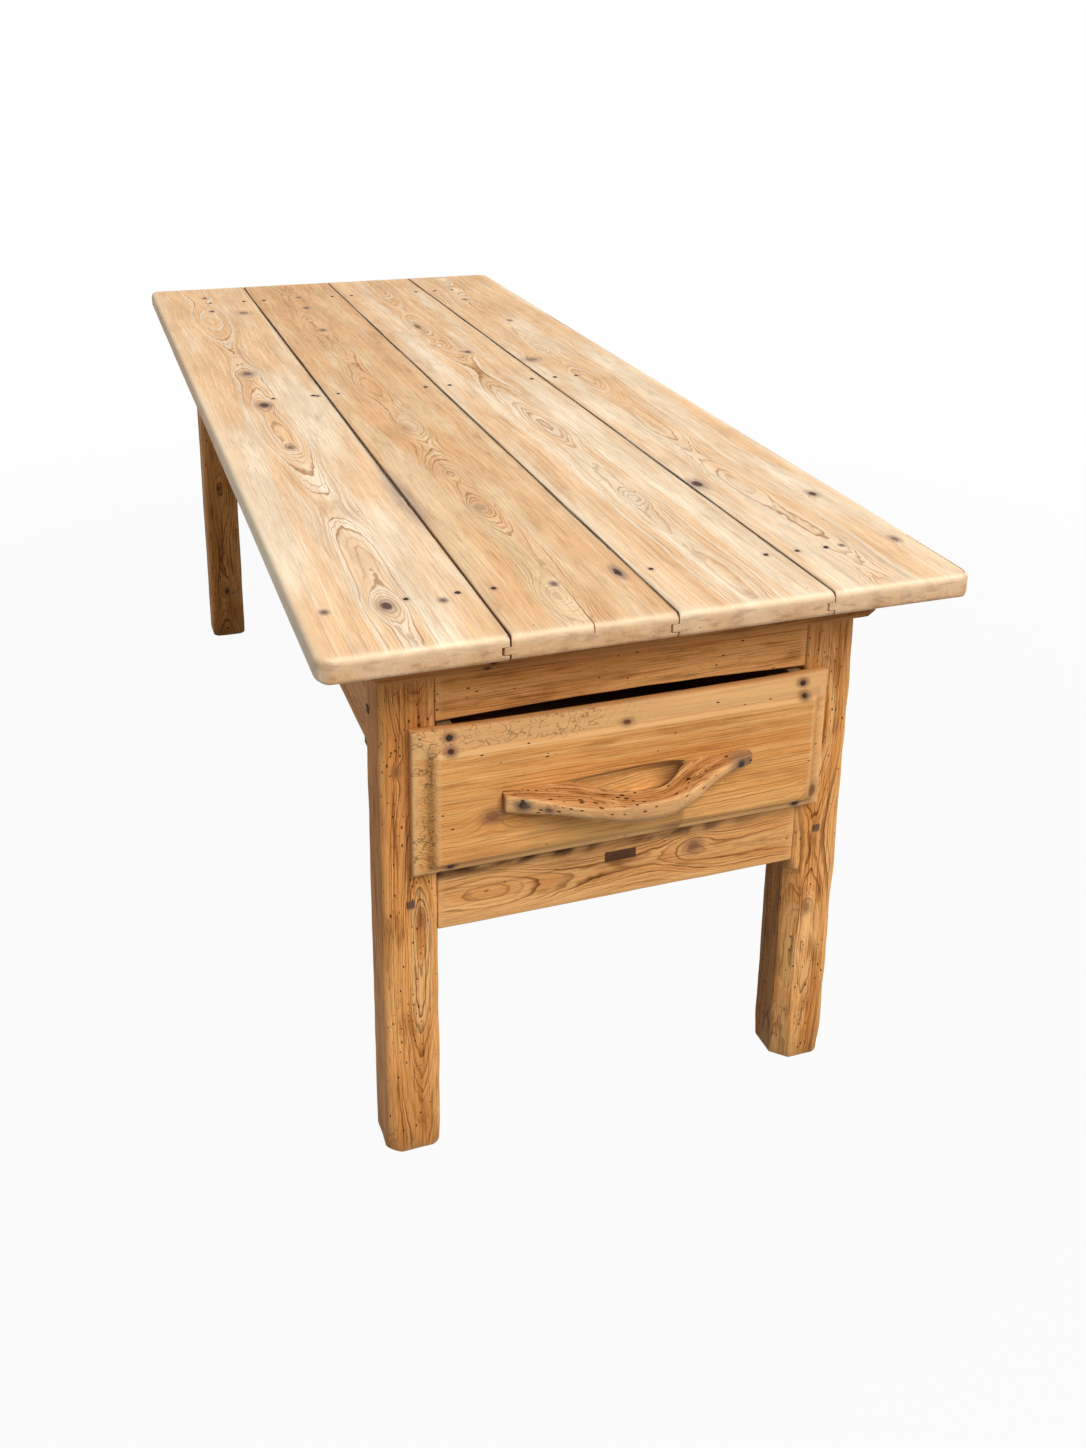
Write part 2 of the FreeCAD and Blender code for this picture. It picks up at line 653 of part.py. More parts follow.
def make_apron(side, pegs):
    """Long apron between two legs of a side, tenoned into them, reaching up to the boards."""
    sign = SIDES[side]
    name = f"{side}_apron"
    start = f"({FRONT_FACE} + Sizes.leg_side)"
    length = f"({REAR_FACE} - Sizes.leg_side - {start})"
    outer = "(Sizes.frame_width / 2 - Sizes.apron_setback)"
    across = f"-{outer}" if sign < 0 else APRON_INNER
    body = new_body(f"{name}_blank", across, start, APRON_BOTTOM)
    face = new_sketch(body, "face", "YZ_Plane")
    rectangle(face, "0", length, "0", "Sizes.apron_height")
    pad(body, face, "Sizes.apron_thickness")
    low, high = TENONS["frame"]
    tenons = new_sketch(body, "tenons", "YZ_Plane", f"Sizes.apron_thickness / 2 - {HALF_TENON}")
    for near_end, far_end in (("-Sizes.tenon_length", "0"), (length, f"{length} + Sizes.tenon_length")):
        rectangle(tenons, near_end, far_end, f"{low} - {APRON_BOTTOM}", f"{high} - {APRON_BOTTOM}")
    pad(body, tenons, "Sizes.tenon_thickness")
    inner = "Sizes.apron_thickness" if sign < 0 else "0"
    housing = new_sketch(body, "housing", "YZ_Plane", inner)
    housing_start = f"({MIDDLE_BEARER_FRONT} - {start})"
    rectangle(housing, housing_start, f"{housing_start} + Sizes.middle_bearer_depth",
              f"{FRAME_TOP} - {APRON_BOTTOM}", "Sizes.apron_height")
    pocket(body, housing, "Sizes.bearer_housing", reverse=sign > 0)
    slot = new_sketch(body, "cross_rail_slot", "YZ_Plane", inner)
    slot_start = f"({HANGER_REAR} - {start})"
    rectangle(slot, slot_start, f"{slot_start} + Sizes.cross_rail_thickness",
              f"{CROSS_RAIL_BOTTOM} - {APRON_BOTTOM}", f"{FRAME_TOP} - {APRON_BOTTOM}")
    pocket(body, slot, "Sizes.cross_rail_housing", reverse=sign > 0)
    return without(body, name, pegs)


def make_drawer_bearings(side):
    """Runner, guide, kicker and hanger that carry one side of the drawer."""
    sign = SIDES[side]

    def span(inner, outer):
        """Range across the table between two distances from its middle line."""
        return (f"-({outer})", f"-({inner})") if sign < 0 else (inner, outer)

    pieces = {}
    rail_back = f"({FRONT_FACE} + Sizes.rail_thickness)"
    leg_back = f"({FRONT_FACE} + Sizes.leg_side)"
    runner_low = f"({RUNNER_TOP} - Sizes.runner_height)"
    runner_inner = f"({LEG_INNER} - Sizes.runner_width)"
    under_side = span(runner_inner, LEG_INNER)
    pieces["drawer_runner"] = (
        under_side, (f"{rail_back} - Sizes.runner_tenon", HANGER_REAR), (runner_low, RUNNER_TOP))
    pieces["drawer_guide"] = (
        span(LEG_INNER, f"{LEG_INNER} + Sizes.guide_width"), (leg_back, f"{leg_back} + Sizes.guide_length"),
        (runner_low, f"{RUNNER_TOP} + Sizes.guide_rise"))
    pieces["drawer_kicker"] = (
        under_side, (f"{rail_back} + Sizes.rail_setback", HANGER_REAR),
        (UPPER_RAIL_BOTTOM, f"{UPPER_RAIL_BOTTOM} + Sizes.kicker_height"))
    pieces["runner_hanger"] = (
        span(f"{runner_inner} - Sizes.hanger_width", runner_inner), (HANGER_FRONT, HANGER_REAR),
        (runner_low, FRAME_TOP))
    for piece, (across, along, up) in pieces.items():
        name = f"{piece}_{side}"
        keep(bar(name, across, along, up), name)


def make_drawer_cross_rail():
    """Rail behind the drawer that the hangers are nailed to, with its ends housed in the aprons."""
    reach = f"({APRON_INNER} + Sizes.cross_rail_housing)"
    name = "drawer_cross_rail"
    keep(bar(name, (f"-{reach}", reach), (HANGER_REAR, f"{HANGER_REAR} + Sizes.cross_rail_thickness"),
             (CROSS_RAIL_BOTTOM, FRAME_TOP)), name)


def make_drawer_nails():
    """Three nails through each end of the drawer front into the drawer's side."""
    size = ["Sizes.drawer_nail_side", "Sizes.drawer_nail_length", "Sizes.drawer_nail_side"]
    levels = [
        f"{DRAWER_SIDE_TOP} - Sizes.drawer_nail_top",
        f"{DRAWER_SIDE_TOP} - Sizes.drawer_nail_second",
        f"{DRAWER_LOW} + Sizes.drawer_nail_low",
    ]
    along = f"{DRAWER_FRONT_BACK} - Sizes.drawer_front_edge"
    nails = []
    for side, sign in SIDES.items():
        across = f"{sign} * ({DRAWER_HALF} - Sizes.drawer_side_thickness / 2) - Sizes.drawer_nail_side / 2"
        for place_number, level in enumerate(levels):
            nails.append(square_pin(f"drawer_nail_{side}_{place_number}", size, across, along,
                                    f"{level} - Sizes.drawer_nail_side / 2"))
    return group("drawer_nails", nails)


# Height of the handle's two ends, and the shares of its half length at which its sections stand
HANDLE_UP = f"({DRAWER_FRONT_TOP} - Sizes.handle_drop)"
HANDLE_STATIONS = [-1, -0.75, -0.5, -0.25, 0, 0.25, 0.5, 0.75, 1]


def make_handle_nails():
    """One nail through each end of the handle into the drawer front."""
    size = ["Sizes.handle_nail_side", "Sizes.handle_nail_length", "Sizes.handle_nail_side"]
    along = f"{DRAWER_FACE} - Sizes.handle_nail_out"
    nails = []
    for side, sign in SIDES.items():
        middle = f"(-Sizes.handle_shift + {sign} * (Sizes.handle_length / 2 - Sizes.handle_nail_inset))"
        nails.append(square_pin(f"handle_nail_{side}", size, f"{middle} - Sizes.handle_nail_side / 2", along,
                                f"{HANDLE_UP} - Sizes.handle_nail_side / 2"))
    return group("handle_nails", nails)


def make_drawer_front(nails, handle_nails):
    """Raised and fielded drawer front, lipped over the legs, with a hollow top edge and a finger hollow."""
    body = new_body("drawer_front_blank", DRAWER_FRONT_LEFT, DRAWER_FRONT_BACK, DRAWER_FRONT_LOW)
    width = f"({DRAWER_FRONT_RIGHT} - {DRAWER_FRONT_LEFT})"
    height = f"({DRAWER_FRONT_TOP} - {DRAWER_FRONT_LOW})"
    edge, thickness = "Sizes.drawer_front_edge", "Sizes.drawer_front_thickness"
    hollow_top = {2: "Sizes.drawer_front_hollow"}
    whole = [("0", "0"), (width, "0"), (width, height), ("0", height)]
    field_right = f"{width} - Sizes.field_right_margin"
    field_top = f"{height} - Sizes.field_top_margin"
    field = [
        ("Sizes.field_left_margin", "Sizes.field_low_margin"), (field_right, "Sizes.field_low_margin"),
        (field_right, field_top), ("Sizes.field_left_margin", field_top)]
    back = outline(new_sketch(body, "back", "XZ_Plane"), whole, hollow_top)
    pad(body, back, edge)
    bevel_foot = outline(new_sketch(body, "bevel_foot", "XZ_Plane", edge), whole, hollow_top)
    raised = outline(new_sketch(body, "field", "XZ_Plane", thickness), field, hollow_top)
    bevel = body.newObject("PartDesign::AdditiveLoft", "drawer_front_bevel")
    bevel.Profile = bevel_foot
    bevel.Sections = [raised]
    bevel.Ruled = True
    doc.recompute()
    middle = f"(-Sizes.handle_shift - {DRAWER_FRONT_LEFT})"
    half = "(Sizes.finger_hollow_length / 2)"
    hollow = new_sketch(body, "finger_hollow", "XY_Plane", f"{height} - Sizes.finger_hollow_drop")
    face = f"-{thickness}"
    axis = f"(-{thickness} - Sizes.finger_hollow_reach)"
    outline(hollow, [
        (f"{middle} - {half}", axis), (f"{middle} + {half}", axis),
        (f"{middle} + {half}", face), (f"{middle} - {half}", face)], {2: "-Sizes.finger_hollow_depth"})
    scoop = body.newObject("PartDesign::Groove", "drawer_front_scoop")
    scoop.Profile = hollow
    scoop.ReferenceAxis = (hollow, ["Edge1"])
    scoop.Angle = 360
    doc.recompute()
    return without(body, "drawer_front", nails, handle_nails)


def make_drawer_side(side, nails):
    """Drawer side, grooved for the bottom."""
    sign = SIDES[side]
    name = f"drawer_side_{side}"
    across = (f"-{DRAWER_HALF}", f"-{DRAWER_INNER}") if sign < 0 else (DRAWER_INNER, DRAWER_HALF)
    body = bar(f"{name}_blank", across, (DRAWER_FRONT_BACK, DRAWER_REAR),
               (DRAWER_LOW, DRAWER_SIDE_TOP))
    inner = "Sizes.drawer_side_thickness" if sign < 0 else "0"
    groove = new_sketch(body, "groove", "YZ_Plane", inner)
    rectangle(groove, "0", "Sizes.drawer_depth", "Sizes.drawer_bottom_lift",
              "Sizes.drawer_bottom_lift + Sizes.drawer_bottom_thickness")
    pocket(body, groove, "Sizes.drawer_groove_depth", reverse=sign > 0)
    return without(body, name, nails)


def make_drawer_box():
    """Back and two bottom boards of the drawer, between its sides."""
    floor_low = f"({DRAWER_LOW} + Sizes.drawer_bottom_lift)"
    floor_high = f"({floor_low} + Sizes.drawer_bottom_thickness)"
    keep(bar("drawer_back", (f"-{DRAWER_INNER}", DRAWER_INNER),
             (f"{DRAWER_REAR} - Sizes.drawer_back_thickness", DRAWER_REAR),
             (floor_high, f"{DRAWER_SIDE_TOP} - Sizes.drawer_back_drop")), "drawer_back")
    reach = f"({DRAWER_INNER} + Sizes.drawer_groove_depth)"
    halfway = f"({DRAWER_FRONT_BACK} + Sizes.drawer_depth / 2)"
    for end, along in {"front": (DRAWER_FRONT_BACK, halfway), "rear": (halfway, DRAWER_REAR)}.items():
        name = f"drawer_bottom_{end}"
        keep(bar(name, (f"-{reach}", reach), along, (floor_low, floor_high)), name)


def swell(share):
    """Expression that rises from 0 at the ends of a length to 1 in its middle."""
    return f"(((1 + cos(180 * min({share}; 1))) / 2) ^ Sizes.handle_fullness)"


def make_handle(nails):
    """Bowed branch of wood that thins towards its ends, planed flat where they sit on the drawer front."""
    name = "drawer_handle"
    body = new_body(f"{name}_blank", "-Sizes.handle_shift", DRAWER_FACE, HANDLE_UP)
    low_bevel, top_bevel = "Sizes.handle_low_bevel", "Sizes.handle_top_bevel"
    sections = []
    for number_along, station in enumerate(HANDLE_STATIONS):
        rise = swell(abs(station))
        gap_rise = swell(f"{abs(station)} * Sizes.handle_length / Sizes.handle_gap_length")
        outer = f"-(Sizes.handle_end_out + (Sizes.handle_crest_out - Sizes.handle_end_out) * {rise})"
        inner = f"(Sizes.handle_seat_trim - (Sizes.handle_crest_inner + Sizes.handle_seat_trim) * {gap_rise})"
        high = f"(Sizes.handle_end_height / 2 - Sizes.handle_top_dip * {rise})"
        growth = f"(Sizes.handle_crest_height - Sizes.handle_end_height) * {rise}"
        low = f"({high} - Sizes.handle_end_height - {growth})"
        section = new_sketch(
            body, f"section_{number_along}", "YZ_Plane", f"{station} * Sizes.handle_length / 2")
        outline(section, [
            (f"{outer} + {low_bevel}", low), (inner, low), (inner, high), (f"{outer} + {top_bevel}", high),
            (outer, f"{high} - {top_bevel}"), (outer, f"{low} + {low_bevel}")])
        sections.append(section)
    doc.recompute()
    branch = body.newObject("PartDesign::AdditiveLoft", f"{name}_branch")
    branch.Profile = sections[0]
    branch.Sections = sections[1:]
    doc.recompute()
    seats = new_sketch(body, "seats", "XZ_Plane")
    half = "(Sizes.handle_length / 2 + Sizes.cutter_margin)"
    rectangle(seats, f"-{half}", half, "-Sizes.handle_crest_height", "Sizes.handle_crest_height")
    pocket(body, seats, "Sizes.handle_crest_out")
    return without(body, name, nails)


top_nails = make_top_nails()
for board in range(BOARDS):
    make_top_board(board, top_nails)
make_end_bearer("front_bearer", -1, top_nails)
make_end_bearer("rear_bearer", 1, top_nails)
make_middle_bearer(top_nails)

lower_rail_pegs = make_rail_pegs(
    "lower_rail_pegs", f"{FRONT_FACE} - Sizes.peg_proud", PEG_LEVEL_LOWER, "Sizes.leg_side / 2")
rear_rail_pegs = make_rail_pegs(
    "rear_rail_pegs", f"{REAR_FACE} + Sizes.peg_proud - Sizes.peg_length", PEG_LEVEL_FRAME, PEG_IN_TENON)
apron_pegs = make_apron_pegs()
make_lower_rail_plug()
for side in SIDES:
    make_leg(side, "front", [lower_rail_pegs, apron_pegs])
    make_leg(side, "rear", [rear_rail_pegs, apron_pegs])
    make_apron(side, apron_pegs)
make_end_rail("upper_end_rail", "upper", f"{FRONT_FACE} + Sizes.rail_setback", UPPER_RAIL_BOTTOM,
              FRAME_TOP, "Sizes.tenon_length", arch="Sizes.upper_rail_arch")
make_end_rail("lower_end_rail", "lower", FRONT_FACE, LOWER_RAIL_BOTTOM,
              RUNNER_TOP, "Sizes.lower_tenon_length", [lower_rail_pegs])
make_end_rail("rear_end_rail", "frame", f"{REAR_FACE} - Sizes.rail_thickness", APRON_BOTTOM,
              FRAME_TOP, "Sizes.tenon_length", [rear_rail_pegs])
for side in SIDES:
    make_drawer_bearings(side)
make_drawer_cross_rail()

drawer_nails = make_drawer_nails()
handle_nails = make_handle_nails()
make_drawer_front(drawer_nails, handle_nails)
for side in SIDES:
    make_drawer_side(side, drawer_nails)
make_drawer_box()
make_handle(handle_nails)

doc.recompute()
for piece in doc.Objects:
    if "Invalid" in piece.State or "Error" in piece.State:
        raise RuntimeError(f"{piece.Label} is {piece.State}")
for piece in NODES:
    if piece.Shape.isNull() or not piece.Shape.isValid():
        raise RuntimeError(f"{piece.Label} has no valid shape")

os.makedirs("parts", exist_ok=True)
for piece in NODES:
    piece.Shape.exportStep(f"parts/{piece.Label}.step")
print(len(NODES), "pieces written")
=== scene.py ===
"""Looks of an old pine farmhouse table with one drawer in its front end.

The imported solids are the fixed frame. Worn boards, timbers, drawer front, pull, nails and pegs are
modelled over them and finished as waxed pine and rusted iron. Sizes are in millimetres unless a name
says metres. X runs across the table, Y away from the drawer end and Z up.
"""

import logging
import math
from collections.abc import Callable, Iterable, Sequence
from dataclasses import dataclass, field, replace
from enum import Enum
from functools import reduce

import bmesh
import bpy
import numpy as np
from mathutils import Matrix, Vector, noise


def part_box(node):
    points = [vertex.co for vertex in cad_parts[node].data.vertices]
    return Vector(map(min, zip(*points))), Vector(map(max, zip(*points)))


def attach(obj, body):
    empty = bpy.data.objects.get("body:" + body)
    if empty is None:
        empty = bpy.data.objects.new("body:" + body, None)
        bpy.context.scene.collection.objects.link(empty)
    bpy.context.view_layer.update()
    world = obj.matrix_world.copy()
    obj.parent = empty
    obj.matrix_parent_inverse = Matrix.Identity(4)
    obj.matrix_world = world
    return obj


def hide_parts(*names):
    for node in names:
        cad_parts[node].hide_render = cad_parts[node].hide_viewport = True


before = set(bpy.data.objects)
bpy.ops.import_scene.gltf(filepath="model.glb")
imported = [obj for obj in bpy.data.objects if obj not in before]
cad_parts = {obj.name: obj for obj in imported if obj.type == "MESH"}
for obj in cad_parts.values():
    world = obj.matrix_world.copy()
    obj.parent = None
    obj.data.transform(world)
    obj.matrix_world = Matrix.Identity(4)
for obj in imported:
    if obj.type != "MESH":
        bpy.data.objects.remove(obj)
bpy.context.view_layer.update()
LOG = logging.getLogger("farmhouse_table")

MM = 0.001
SHARP_DEGREES = 42.0
TABLE = "table"
DRAWER = "drawer"

Colour = tuple[float, float, float]
Point = tuple[float, float, float]
Socket = bpy.types.NodeSocket


def linear(colour: Colour) -> tuple[float, float, float, float]:
    """Linear colour of a display colour.

    Args:
        colour: Red, green and blue from 0 to 255.

    Returns:
        Linear red, green and blue from 0 to 1, and full opacity.
    """
    def channel(value: float) -> float:
        """Linear share of one channel."""
        share = value / 255
        return share / 12.92 if share <= 0.04045 else ((share + 0.055) / 1.055) ** 2.4
    red, green, blue = (channel(value) for value in colour)
    return red, green, blue, 1.0


def box_mm(node: str) -> tuple[np.ndarray, np.ndarray]:
    """Lowest and highest corner of a node's solid, in millimetres."""
    low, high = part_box(node)
    return np.array(low) / MM, np.array(high) / MM


def plain_point(corner: np.ndarray) -> Point:
    """Corner as plain numbers."""
    return tuple(float(value) for value in corner)


def wobble(points: np.ndarray, wavelengths: Sequence[float], seed: float) -> np.ndarray:
    """Smooth noise at points.

    Args:
        points: Points in millimetres, one to a row.
        wavelengths: Length of a swing along each axis.
        seed: Shifts the noise, so that pieces differ.

    Returns:
        One value from about -1 to 1 for each point.
    """
    shift = Vector((seed * 17.31, seed * 5.17, seed * 11.73))
    scaled = np.asarray(points, float) / np.asarray(wavelengths, float)
    return np.array([noise.noise(Vector(point) + shift) for point in scaled])


def swing(along: float, wavelength: float, seed: float) -> float:
    """Smooth noise from about -1 to 1 at a distance along a line."""
    return noise.noise(Vector((along / wavelength, seed * 7.77, seed * 3.19)))


def smooth_step(low: float, high: float, value: np.ndarray | float) -> np.ndarray | float:
    """Smooth rise from 0 at low to 1 at high, or a fall where low is above high."""
    share = np.clip((value - low) / (high - low), 0, 1)
    return share * share * (3 - 2 * share)


def round_inset(radius: float, distance: np.ndarray | float) -> np.ndarray | float:
    """How far a rounded edge falls back at a distance from the edge."""
    reach = np.clip(radius - distance, 0, radius)
    return radius - np.sqrt(np.maximum(radius * radius - reach * reach, 0))


def spaced(low: float, high: float, step: float, ends: Sequence[float]) -> np.ndarray:
    """Places along a length, closer together near both ends.

    Args:
        low: First place.
        high: Last place.
        step: Spacing away from the ends.
        ends: Distances from each end at which extra places stand, from 0 upwards.

    Returns:
        The places in rising order.
    """
    inner_low, inner_high = low + ends[-1], high - ends[-1]
    count = max(2, round((inner_high - inner_low) / step) + 1)
    middle = np.linspace(inner_low, inner_high, count)
    return np.concatenate([[low + end for end in ends[:-1]], middle, [high - end for end in ends[-2::-1]]])


def mesh_object(name: str, points: np.ndarray, faces: Iterable[Sequence[int]]) -> bpy.types.Object:
    """Closed, smooth-shaded mesh object with its normals outwards.

    Args:
        name: Name of the piece.
        points: Vertices in millimetres.
        faces: Vertex numbers of each face.

    Returns:
        The new object, at the origin.
    """
    mesh = bpy.data.meshes.new(name)
    mesh.from_pydata((np.asarray(points) * MM).tolist(), [], [tuple(face) for face in faces])
    work = bmesh.new()
    work.from_mesh(mesh)
    bmesh.ops.recalc_face_normals(work, faces=work.faces)
    work.to_mesh(mesh)
    work.free()
    mesh.shade_smooth()
    mesh.set_sharp_from_angle(angle=math.radians(SHARP_DEGREES))
    piece = bpy.data.objects.new(name, mesh)
    bpy.context.scene.collection.objects.link(piece)
    return piece


def loft(name: str, rings: Sequence[np.ndarray]) -> bpy.types.Object:
    """Mesh through rings of points, closed by a flat face at each end.

    Args:
        name: Name of the piece.
        rings: Rings of equally many points, in millimetres.

    Returns:
        The new object, at the origin.
    """
    count = len(rings[0])
    faces: list[Sequence[int]] = []
    for ring in range(len(rings) - 1):
        first, after = ring * count, (ring + 1) * count
        for place in range(count):
            beside = (place + 1) % count
            faces.append((first + place, first + beside, after + beside, after + place))
    faces.append(range(count - 1, -1, -1))
    faces.append(range((len(rings) - 1) * count, len(rings) * count))
    piece = mesh_object(name, np.vstack(rings), faces)
    for end in piece.data.polygons[-2:]:
        end.use_smooth = False
    return piece


def set_attribute(piece: bpy.types.Object, name: str, values: np.ndarray) -> None:
    """Stores one number for each vertex, for the finish to read."""
    attribute = piece.data.attributes.new(name, "FLOAT", "POINT")
    attribute.data.foreach_set("value", np.asarray(values, np.float32))


def points_mm(piece: bpy.types.Object) -> np.ndarray:
    """Vertices of a piece.

    Args:
        piece: The piece.

    Returns:
        One vertex to a row, in millimetres.
    """
    flat = np.empty(len(piece.data.vertices) * 3)
    piece.data.vertices.foreach_get("co", flat)
    return flat.reshape(-1, 3) / MM


def move_points(piece: bpy.types.Object, points: np.ndarray) -> None:
    """Moves the vertices of a piece to points in millimetres."""
    piece.data.vertices.foreach_set("co", (points * MM).ravel())
    piece.data.update()


def ripple(piece: bpy.types.Object, height: np.ndarray | float, wavelengths: Sequence[float],
           seed: float) -> None:
    """Moves a piece's surface in and out along its normals by smooth noise.

    Args:
        piece: The piece.
        height: Greatest move, the same everywhere or one for each vertex.
        wavelengths: Length of a swing along each axis.
        seed: Shifts the noise, so that pieces differ.
    """
    points = points_mm(piece)
    normals = np.array([vertex.normal for vertex in piece.data.vertices])
    move_points(piece, points + normals * (height * wobble(points, wavelengths, seed))[:, None])


def mark_edges(piece: bpy.types.Object, low: np.ndarray, high: np.ndarray, reach: float) -> None:
    """Stores how near each vertex lies to an arris of the box that the piece fills.

    Args:
        piece: The piece.
        low: Lowest corner of the box.
        high: Highest corner of the box.
        reach: Distance over which the mark fades.
    """
    points = points_mm(piece)
    distances = np.sort(np.minimum(points - low, high - points), axis=1)
    set_attribute(piece, "edge", np.exp(-np.maximum(distances[:, 1], 0) / reach))


class Graph:
    """Short calls for building the nodes of a tree; a value is a plain one or another node's output."""

    def __init__(self, tree: bpy.types.NodeTree) -> None:
        """Starts on an empty tree."""
        self.tree = tree
        tree.nodes.clear()

    def node(self, kind: str, feeds: dict[str | int, object] | None = None,
             **settings: object) -> bpy.types.Node:
        """New node.

        Args:
            kind: Blender's name for the kind of node.
            feeds: Value for each input, by its name or number.
            settings: Properties to set on it.

        Returns:
            The node.
        """
        made = self.tree.nodes.new(kind)
        for name, value in settings.items():
            setattr(made, name, value)
        for key, value in (feeds or {}).items():
            self.feed(made.inputs[key], value)
        return made

    def feed(self, socket: Socket, value: object) -> None:
        """Links a socket to another, or sets its value.

        Args:
            socket: Input to feed.
            value: Output of another node, or a plain value.
        """
        if isinstance(value, bpy.types.NodeSocket):
            self.tree.links.new(value, socket)
        else:
            socket.default_value = value

    def math(self, operation: str, first: object, second: object = 0.0) -> Socket:
        """Result of a math operation on one or two values."""
        return self.node("ShaderNodeMath", {0: first, 1: second}, operation=operation).outputs[0]

    def add(self, *values: object) -> Socket:
        """Sum of two or more values."""
        return reduce(lambda total, value: self.math("ADD", total, value), values)

    def times(self, *values: object) -> Socket:
        """Product of two or more values."""
        return reduce(lambda total, value: self.math("MULTIPLY", total, value), values)

    def minus(self, first: object, second: object) -> Socket:
        """First value less the second."""
        return self.math("SUBTRACT", first, second)

    def over(self, first: object, second: object) -> Socket:
        """First value divided by the second."""
        return self.math("DIVIDE", first, second)

    def most(self, first: object, second: object) -> Socket:
        """Greater one of two values."""
        return self.math("MAXIMUM", first, second)

    def combine(self, across: object, along: object, up: object) -> Socket:
        """Vector of three values."""
        return self.node("ShaderNodeCombineXYZ", {0: across, 1: along, 2: up}).outputs[0]

    def separate(self, vector: Socket) -> tuple[Socket, Socket, Socket]:
        """Three values of a vector."""
        return tuple(self.node("ShaderNodeSeparateXYZ", {0: vector}).outputs)

    def stretch(self, vector: Socket, lengths: Sequence[float], shift: object) -> Socket:
        """Vector scaled so that the length given for each axis becomes 1, and then shifted."""
        feeds = {0: vector, 1: [1 / length for length in lengths], 2: shift}
        return self.node("ShaderNodeVectorMath", feeds, operation="MULTIPLY_ADD").outputs[0]

    def noise(self, place: Socket, detail: float, line: bool = False) -> tuple[Socket, Socket]:
        """Smooth noise.

        Args:
            place: Place in space, or on a line.
            detail: How many finer layers are added.
            line: Whether the place lies on a line.

        Returns:
            The noise as a value and as a colour.
        """
        feeds = {"W" if line else "Vector": place, "Scale": 1.0, "Detail": detail}
        kind = "1D" if line else "3D"
        return tuple(self.node("ShaderNodeTexNoise", feeds, noise_dimensions=kind).outputs)

    def rise(self, value: object, low: object, high: object, start: object = 0.0,
             end: object = 1.0) -> Socket:
        """Smooth change of the result from start to end, where a value goes from low to high."""
        feeds = {0: value, 1: low, 2: high, 3: start, 4: end}
        return self.node("ShaderNodeMapRange", feeds, interpolation_type="SMOOTHSTEP").outputs[0]

    def mix(self, share: object, first: object, second: object, blend: str = "MIX") -> Socket:
        """First colour with a share of the second one laid on it."""
        feeds = {0: share, 6: first, 7: second}
        return self.node("ShaderNodeMix", feeds, data_type="RGBA", blend_type=blend).outputs[2]

    def surface(self, settings: dict[str, object], height: Socket, strength: float) -> None:
        """Ends a material in a surface with a fine relief.

        Args:
            settings: What goes into each named input of the surface.
            height: Height of the relief in millimetres.
            strength: How strongly the relief shows.
        """
        bump = self.node("ShaderNodeBump", {"Strength": strength, "Distance": MM, "Height": height})
        made = self.node("ShaderNodeBsdfPrincipled", {**settings, "Normal": bump.outputs[0]})
        self.node("ShaderNodeOutputMaterial", {"Surface": made.outputs[0]})


def new_material(name: str) -> tuple[bpy.types.Material, Graph]:
    """New material.

    Args:
        name: Name of the material.

    Returns:
        The material and an empty graph for its nodes.
    """
    made = bpy.data.materials.new(name)
    made.use_nodes = True
    return made, Graph(made.node_tree)


class Grain(Enum):
    """How the wood lies: the table's axes along the grain, across the face and into the face."""

    ALONG = "YXZ"
    ACROSS = "XZY"
    UPRIGHT = "ZXY"
    SIDE = "YZX"

    @property
    def axes(self) -> tuple[int, int, int]:
        """Numbers of the three axes."""
        return tuple("XYZ".index(letter) for letter in self.value)


@dataclass(frozen=True)
class Knot:
    """Knot in a face, which the growth rings bend round, or a stain if they don't bend.

    Its place is measured along the grain and across the face from the finish's origin.
    """

    along: float
    across: float
    radius: float
    swell: float = 11.0
    core: float = 0.85
    halo: float = 0.55
    stretch: float = 1.7


def stain(along: float, across: float, radius: float = 4.0, halo: float = 0.8) -> Knot:
    """Dark mark that iron leaves in the wood, with a grey rim of a strength from 0 to 1."""
    return Knot(along, across, radius, swell=0.0, core=0.5, halo=halo, stretch=1.4)


@dataclass(frozen=True)
class PineTone:
    """Colours of one kind of old pine, as display colours from 0 to 255."""

    pale: Colour
    warm: Colour
    line: Colour
    bleach: Colour
    edge: Colour
    end: Colour
    knot: Colour
    halo: Colour


SCRUBBED = PineTone(
    pale=(249, 227, 195), warm=(243, 200, 153), line=(158, 98, 50), bleach=(253, 240, 216),
    edge=(248, 226, 192), end=(206, 160, 114), knot=(78, 56, 50), halo=(146, 120, 112))
HONEY = replace(
    SCRUBBED, pale=(240, 207, 165), warm=(233, 185, 136), line=(150, 90, 44), bleach=(243, 217, 178))
AMBER = PineTone(
    pale=(239, 173, 104), warm=(218, 146, 77), line=(104, 50, 16), bleach=(250, 196, 130),
    edge=(238, 184, 120), end=(186, 128, 74), knot=(92, 50, 28), halo=(128, 84, 60))
# Amber pine painted darker as the shade that the top's overhang casts on the bearers
PAINTED_SHADE_AMBER = replace(
    AMBER, pale=(212, 148, 84), warm=(188, 122, 62), bleach=(218, 162, 100), edge=(206, 150, 92))
LIGHT_AMBER = PineTone(
    pale=(236, 178, 114), warm=(220, 154, 90), line=(110, 58, 24), bleach=(242, 194, 130),
    edge=(234, 180, 120), end=(186, 128, 74), knot=(92, 50, 28), halo=(128, 90, 72))
# Its edge colour lays on the rubbed rim of the drawer front and also its painted highlights
GOLDEN = PineTone(
    pale=(235, 174, 104), warm=(222, 154, 84), line=(136, 78, 32), bleach=(242, 194, 128),
    edge=(246, 206, 152), end=(190, 136, 82), knot=(98, 56, 32), halo=(128, 88, 66))
INNER = PineTone(
    pale=(186, 146, 106), warm=(164, 122, 82), line=(112, 76, 48), bleach=(198, 164, 126),
    edge=(176, 138, 100), end=(150, 112, 78), knot=(90, 60, 40), halo=(120, 92, 72))
